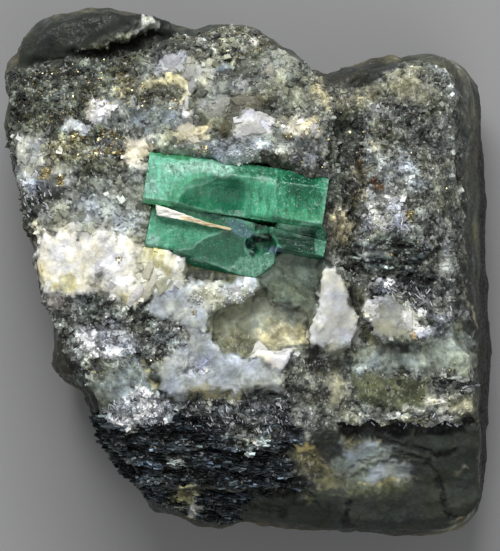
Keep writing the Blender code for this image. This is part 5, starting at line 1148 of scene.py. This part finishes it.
BLOCK = np.array([(x, y, z) for x in (-1, 1) for y in (-1, 1) for z in (-1, 1)], float) * 0.5
BLOCK_FACES = [(0, 1, 3, 2), (4, 6, 7, 5), (0, 4, 5, 1), (2, 3, 7, 6), (0, 2, 6, 4), (1, 5, 7, 3)]


def pointed_prism():
    """A six-sided prism with a pointed end, one wide and one high, as corners and triangles."""
    ring = [(0.5 * math.cos(math.radians(60 * k)), 0.5 * math.sin(math.radians(60 * k))) for k in range(6)]
    corners = [(x, y, -0.5) for x, y in ring] + [(x, y, 0.15) for x, y in ring] + [(0.0, 0.0, 0.5)]
    faces = []
    for k in range(6):
        j = (k + 1) % 6
        faces += [(k, j, 6 + j), (k, 6 + j, 6 + k), (6 + k, 6 + j, 12)]
    faces += [(0, k + 1, k) for k in range(1, 5)]
    return np.array(corners), faces


def unit(vectors):
    return vectors / np.linalg.norm(vectors, axis=1)[:, None]


def turns(up, side):
    """Turning matrices whose third axis is up and whose first lies as near to side as it can."""
    up = unit(up)
    first = unit(side - np.einsum("ij,ij->i", side, up)[:, None] * up)
    return np.stack([first, np.cross(up, first), up], 2)


def scattered(name, places, sizes, turning, colour, character, material, rng, shape=(BLOCK, BLOCK_FACES), ragged=0.12):
    """Many small crystals or chips as one mesh: each a copy of a shape, sized, turned and set in place."""
    corners, faces = shape
    count = len(places)
    corners = corners[None] + rng.uniform(-ragged, ragged, (count, *corners.shape))
    corners = np.einsum("nij,nkj->nki", turning, corners * (sizes * MM)[:, None, :]) + places[:, None, :]
    step = corners.shape[1]
    all_faces = (np.array(faces)[None] + (np.arange(count) * step)[:, None, None]).reshape(-1, len(faces[0]))
    mesh = bpy.data.meshes.new(name)
    mesh.from_pydata(corners.reshape(-1, 3).tolist(), [], all_faces.tolist())
    mesh.update()
    store(mesh, "tone", np.repeat(np.clip(colour, 0.0, 0.9), step, 0))
    store(mesh, "character", np.repeat(character, step, 0))
    mesh.materials.append(material)
    piece = new_object(name, mesh)
    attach(piece, "root")
    return piece


def scatter_grains(face, rng, material):
    """Angular grains that break up the granular rock."""
    grain, layered, _ = face.character.T
    rows = face.pick(rng, GRAINS, (grain - 0.4) * (1.0 - 0.5 * layered))
    count = len(rows)
    sizes = (0.14 + 0.42 * rng.uniform(0.0, 1.0, (count, 1)) ** 3) * rng.uniform(0.6, 1.2, (count, 3))
    colour = face.colour[rows] * rng.choice([0.4, 0.75, 1.0, 1.4, 2.2], count, p=[0.2, 0.25, 0.25, 0.2, 0.1])[:, None]
    colour += (colour.mean(1, keepdims=True) - colour) * 0.5
    places = face.places[rows] + face.normals[rows] * (rng.uniform(-0.12, 0.10, count) * MM)[:, None]
    turning = turns(rng.normal(size=(count, 3)), rng.normal(size=(count, 3)))
    traits = np.tile((0.25, 0.0, 0.5), (count, 1))
    scattered("grains", places, sizes, turning, colour, traits, material, rng, ragged=0.2)


def scatter_flakes(face, rng, material):
    """Cleavage flakes and rhombs of calcite and quartz, standing out of the pale veins."""
    weight = np.zeros(len(face.flat))
    span = np.ones(len(face.flat))
    for outline, share, size in FLAKE_BEDS:
        inside = outline_depth(face.flat, outline) > 0
        weight[inside] = share
        span[inside] = size
    rows = face.pick(rng, FLAKES, weight * (face.normals[:, 2] > 0.3))
    count = len(rows)
    length = span[rows] * rng.uniform(0.35, 1.15, count)
    sizes = np.stack([length, length * rng.uniform(0.5, 0.9, count), length * rng.uniform(0.14, 0.4, count)], 1)
    up = face.normals[rows] + rng.normal(scale=0.30, size=(count, 3))
    turning = turns(up, rng.normal(size=(count, 3)))
    places = face.places[rows] - face.normals[rows] * (0.30 * sizes[:, 2] * MM)[:, None]
    colour = face.colour[rows] * rng.uniform(0.85, 1.2, count)[:, None]
    traits = np.tile((0.1, 0.0, 0.5), (count, 1))
    scattered("calcite_flakes", places, sizes, turning, colour, traits, material, rng, ragged=0.16)


def top_drop(points, middle, rng):
    """How far a crystal's top lies under its highest plane: a flat with slanting faces round it."""
    radius = np.linalg.norm(points - middle, axis=1).mean()
    angles = rng.uniform(0.0, 2.0 * math.pi) + np.arange(4) * (0.5 * math.pi) + rng.normal(scale=0.35, size=4)
    across = (points - middle) @ np.array([np.cos(angles), np.sin(angles)])
    starts = radius * rng.uniform(-0.1, 0.7, 4)
    return np.maximum((across - starts) * rng.uniform(0.12, 0.5, 4), 0.0).max(1)


def build_crystals(face, rng, material):
    """The larger crystals and cleavage pieces of the veins: low blocks with ragged, broken edges."""
    corners = []
    faces = []
    tones = []
    for shown, lift, lean, outline in CRYSTALS:
        points = []
        for a, b in zip(outline, outline[1:] + outline[:1]):
            steps = max(1, round(math.dist(a, b) / 0.45))
            points += [(a[0] + (b[0] - a[0]) * k / steps, a[1] + (b[1] - a[1]) * k / steps) for k in range(steps)]
        points = np.array(points) + rng.normal(scale=0.05, size=(len(points), 2))
        count = len(points)
        middle = points.mean(0)
        inside = outline_depth(face.flat, outline) > -0.3
        below = np.column_stack([face.flat[inside] - middle, np.ones(np.count_nonzero(inside))])
        plane = np.linalg.lstsq(below, face.places[inside, 2] / MM, rcond=None)[0]
        slope = np.clip(plane[:2], -0.5, 0.5) + np.array(lean)
        height = plane[2] + lift + (points - middle) @ slope
        inward = unit(middle - points) * rng.uniform(0.08, 0.26, (count, 1))
        halfway = middle + (points - middle) * rng.uniform(0.35, 0.62, (count, 1))
        drop = top_drop(np.vstack([points, points + inward, halfway, middle[None]]), middle, rng)
        height = height - drop[:count]
        first = len(corners)
        corners += [(x, y, z - lift - 1.2) for (x, y), z in zip(points, height)]
        corners += [(x, y, z - low) for (x, y), z, low in zip(points, height, rng.uniform(0.10, 0.34, count))]
        corners += [(x, y, z) for (x, y), z in zip(points + inward, height - rng.uniform(0.0, 0.08, count))]
        rise = plane[2] + lift + (halfway - middle) @ slope - drop[2 * count:3 * count]
        corners += [(x, y, z) for (x, y), z in zip(halfway, rise)]
        corners.append((*middle, plane[2] + lift - drop[-1]))
        for i in range(count):
            j = (i + 1) % count
            for ring in (first, first + count, first + 2 * count):
                faces.append((ring + i, ring + j, ring + count + j, ring + count + i))
            faces.append((first + 3 * count + i, first + 3 * count + j, first + 4 * count))
        tones += list(linear(shown) * CRYSTAL_TONE * rng.uniform(0.92, 1.07, (4 * count + 1, 1)))
    mesh = bpy.data.meshes.new("vein_crystals")
    mesh.from_pydata([tuple(c * MM for c in corner) for corner in corners], [], faces)
    mesh.update()
    store(mesh, "tone", np.clip(tones, 0.0, 0.9))
    store(mesh, "character", np.tile((0.16, 0.0, 0.6), (len(corners), 1)))
    mesh.materials.append(material)
    piece = new_object("vein_crystals", mesh)
    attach(piece, "root")


def scatter_plates(face, rng, material):
    """Thin plates of shale lying along the layers, with their broken ends out."""
    layered = face.character[:, 1]
    rows = face.pick(rng, PLATES, layered - 0.5)
    count = len(rows)
    sizes = np.stack([rng.uniform(0.3, 1.3, count), rng.uniform(0.2, 0.5, count), rng.uniform(0.05, 0.16, count)], 1)
    up = np.tile(np.array(LAYER_NORMAL), (count, 1)) + rng.normal(scale=0.16, size=(count, 3))
    side = np.tile((1.0, -0.08, 0.0), (count, 1)) + rng.normal(scale=0.22, size=(count, 3))
    places = face.places[rows] + face.normals[rows] * (rng.uniform(-0.12, 0.12, count) * MM)[:, None]
    # painted glints: about one plate in eight is made five times lighter, as a glint off the shale
    tone_and_glint = rng.choice([0.25, 0.7, 1.6, 5.0], count, p=[0.36, 0.30, 0.22, 0.12])
    traits = np.tile((0.2, 0.3, 0.4), (count, 1))
    scattered("shale_plates", places, sizes, turns(up, side), face.colour[rows] * tone_and_glint[:, None], traits, material, rng)


def scatter_druse(face, rng, material):
    """Small quartz points crowded along the ledge over the crystals and in the hollows beside them."""
    weight = np.zeros(len(face.flat))
    for outline in DRUSES:
        weight = np.maximum(weight, outline_depth(face.flat, outline) > 0)
    rows = face.pick(rng, DRUSE_POINTS, weight)
    count = len(rows)
    width = rng.uniform(0.16, 0.42, count)
    sizes = np.stack([width, width, width * rng.uniform(1.1, 2.0, count)], 1)
    up = face.normals[rows] + rng.normal(scale=0.5, size=(count, 3)) + (0.0, -0.2, 0.4)
    colour = face.colour[rows] * rng.uniform(0.8, 1.25, count)[:, None]
    traits = np.tile((0.05, 0.0, 0.8), (count, 1))
    turning = turns(up, rng.normal(size=(count, 3)))
    scattered("quartz_points", face.places[rows], sizes, turning, colour, traits, material, rng, pointed_prism(), 0.04)


def scatter_needles(face, rng, material):
    """Fine white needles over the band of fibrous calcite and the sparkling stretches."""
    weight = np.zeros(len(face.flat))
    for outline, share in NEEDLE_BANDS:
        weight = np.maximum(weight, share * (outline_depth(face.flat, outline) > 0))
    rows = face.pick(rng, NEEDLES, weight)
    count = len(rows)
    sizes = np.stack([rng.uniform(0.3, 0.8, count), rng.uniform(0.07, 0.14, count), rng.uniform(0.06, 0.12, count)], 1)
    side = np.tile((-0.45, 1.0, 0.35), (count, 1)) + rng.normal(scale=0.5, size=(count, 3))
    turning = turns(face.normals[rows] + rng.normal(scale=0.3, size=(count, 3)), side)
    colour = np.tile(linear((196, 200, 206)), (count, 1)) * rng.uniform(0.4, 1.15, count)[:, None]
    traits = np.tile((0.0, 0.0, 0.5), (count, 1))
    places = face.places[rows] + face.normals[rows] * 0.04 * MM
    scattered("calcite_needles", places, sizes, turning, colour, traits, material, rng)


def scatter_pyrite(face, rng, material):
    rows = []
    widths = []
    for count, small, large, outline in PYRITE:
        inside = outline_depth(face.flat, outline) > 0
        picked = face.pick(rng, count, inside.astype(float))
        rows.append(picked)
        widths.append(rng.uniform(small, large, len(picked)))
    rows = np.concatenate(rows)
    count = len(rows)
    sizes = 0.75 * np.concatenate(widths)[:, None] * rng.uniform(0.75, 1.25, (count, 3))
    turning = turns(rng.normal(size=(count, 3)), rng.normal(size=(count, 3)))
    places = face.places[rows] + face.normals[rows] * 0.05 * MM
    scattered("pyrite", places, sizes, turning, face.colour[rows], face.character[rows], material, rng)


def build_seam(material):
    """The sliver of white and yellow calcite wedged between the two crystals."""
    bm = bmesh.new()
    rings = []
    for drop in (2.4, 0.0):
        ring = []
        for x, y in SEAM:
            height = SEAM_HEIGHT + SEAM_RISE * (y - SEAM_MIDDLE) - drop
            ring.append(bm.verts.new(Vector((x, y, height)) * MM))
        rings.append(ring)
    count = len(SEAM)
    for i in range(count):
        j = (i + 1) % count
        bm.faces.new((rings[0][i], rings[0][j], rings[1][j], rings[1][i]))
    bm.faces.new(rings[0][::-1])
    bm.faces.new(rings[1])
    bmesh.ops.recalc_face_normals(bm, faces=bm.faces)
    mesh = bpy.data.meshes.new("seam_block")
    bm.to_mesh(mesh)
    bm.free()
    block = new_object("seam_block", mesh)
    remesh = block.modifiers.new("skin", "REMESH")
    remesh.mode = "VOXEL"
    remesh.voxel_size = 0.1 * MM
    mesh = evaluated_mesh(block, "calcite_seam")
    bpy.data.objects.remove(block)
    places = vertex_array(mesh)
    normals = normal_array(mesh)
    moved = [0.09 * noise.fractal(Vector((x * 900, y * 2600, z * 2000)), 0.9, 2.2, 3) for x, y, z in places]
    set_vertices(mesh, places + normals * (np.array(moved) * MM)[:, None])
    flat = wander(places[:, :2] / MM, 1.6, 0.2)
    colour = np.tile(linear((236, 236, 226)), (len(places), 1))
    draw_lines(flat, colour, SEAM_LINES)
    store(mesh, "tone", colour)
    store(mesh, "character", np.tile((0.0, 0.15, 0.4), (len(places), 1)))
    mesh.materials.append(material)
    seam = new_object("calcite_seam", mesh)
    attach(seam, "root")


def area_light(name, place, size_x, size_y, power):
    data = bpy.data.lights.new(name, "AREA")
    data.shape = "RECTANGLE"
    data.size = size_x
    data.size_y = size_y
    data.energy = power
    lamp = new_object(name, data)
    lamp.location = place
    lamp.rotation_euler = (Vector((0.0, 0.0, 0.02)) - Vector(place)).to_track_quat("-Z", "Y").to_euler()


def set_light():
    area_light("key_light", (-0.10, 0.62, 0.62), 0.50, 0.36, 9.6)
    area_light("fill_light", (0.25, -0.45, 0.85), 0.7, 0.7, 2.4)
    world = bpy.data.worlds.new("studio")
    world.use_nodes = True
    world.node_tree.nodes["Background"].inputs["Color"].default_value = (0.98, 0.99, 1.0, 1.0)
    world.node_tree.nodes["Background"].inputs["Strength"].default_value = 0.34
    bpy.context.scene.world = world
    bpy.context.scene.view_settings.view_transform = "Standard"


def set_floor():
    mesh = bpy.data.meshes.new("floor")
    bm = bmesh.new()
    bmesh.ops.create_grid(bm, x_segments=1, y_segments=1, size=12.0)
    bm.to_mesh(mesh)
    bm.free()
    nodes = Nodes("pale_floor")
    nodes.shader.inputs["Base Color"].default_value = (0.235, 0.235, 0.238, 1.0)
    nodes.shader.inputs["Roughness"].default_value = 0.9
    mesh.materials.append(nodes.material)
    floor = new_object("floor", mesh)
    floor.location.z = -0.0001


def set_camera():
    data = bpy.data.cameras.new("camera")
    data.sensor_width = SENSOR
    data.lens = SENSOR * CAMERA_AWAY / (PIXEL * MM * max(PICTURE))
    data.clip_start = 0.05
    data.clip_end = 50.0
    camera = new_object("camera", data)
    camera.location = (0.0, 0.0, FACE_HEIGHT * MM + CAMERA_AWAY)
    bpy.context.scene.camera = camera


def main():
    rng = np.random.default_rng(SEED)
    stone = rock_material()
    face = build_rock(stone)
    scatter_grains(face, rng, stone)
    scatter_flakes(face, rng, stone)
    build_crystals(face, rng, stone)
    scatter_plates(face, rng, stone)
    scatter_druse(face, rng, stone)
    scatter_needles(face, rng, stone)
    scatter_pyrite(face, rng, pyrite_material())
    green = emerald_material()
    build_emerald("emerald_upper", green)
    build_emerald("emerald_lower", green)
    build_seam(stone)
    set_light()
    set_floor()
    set_camera()


main()
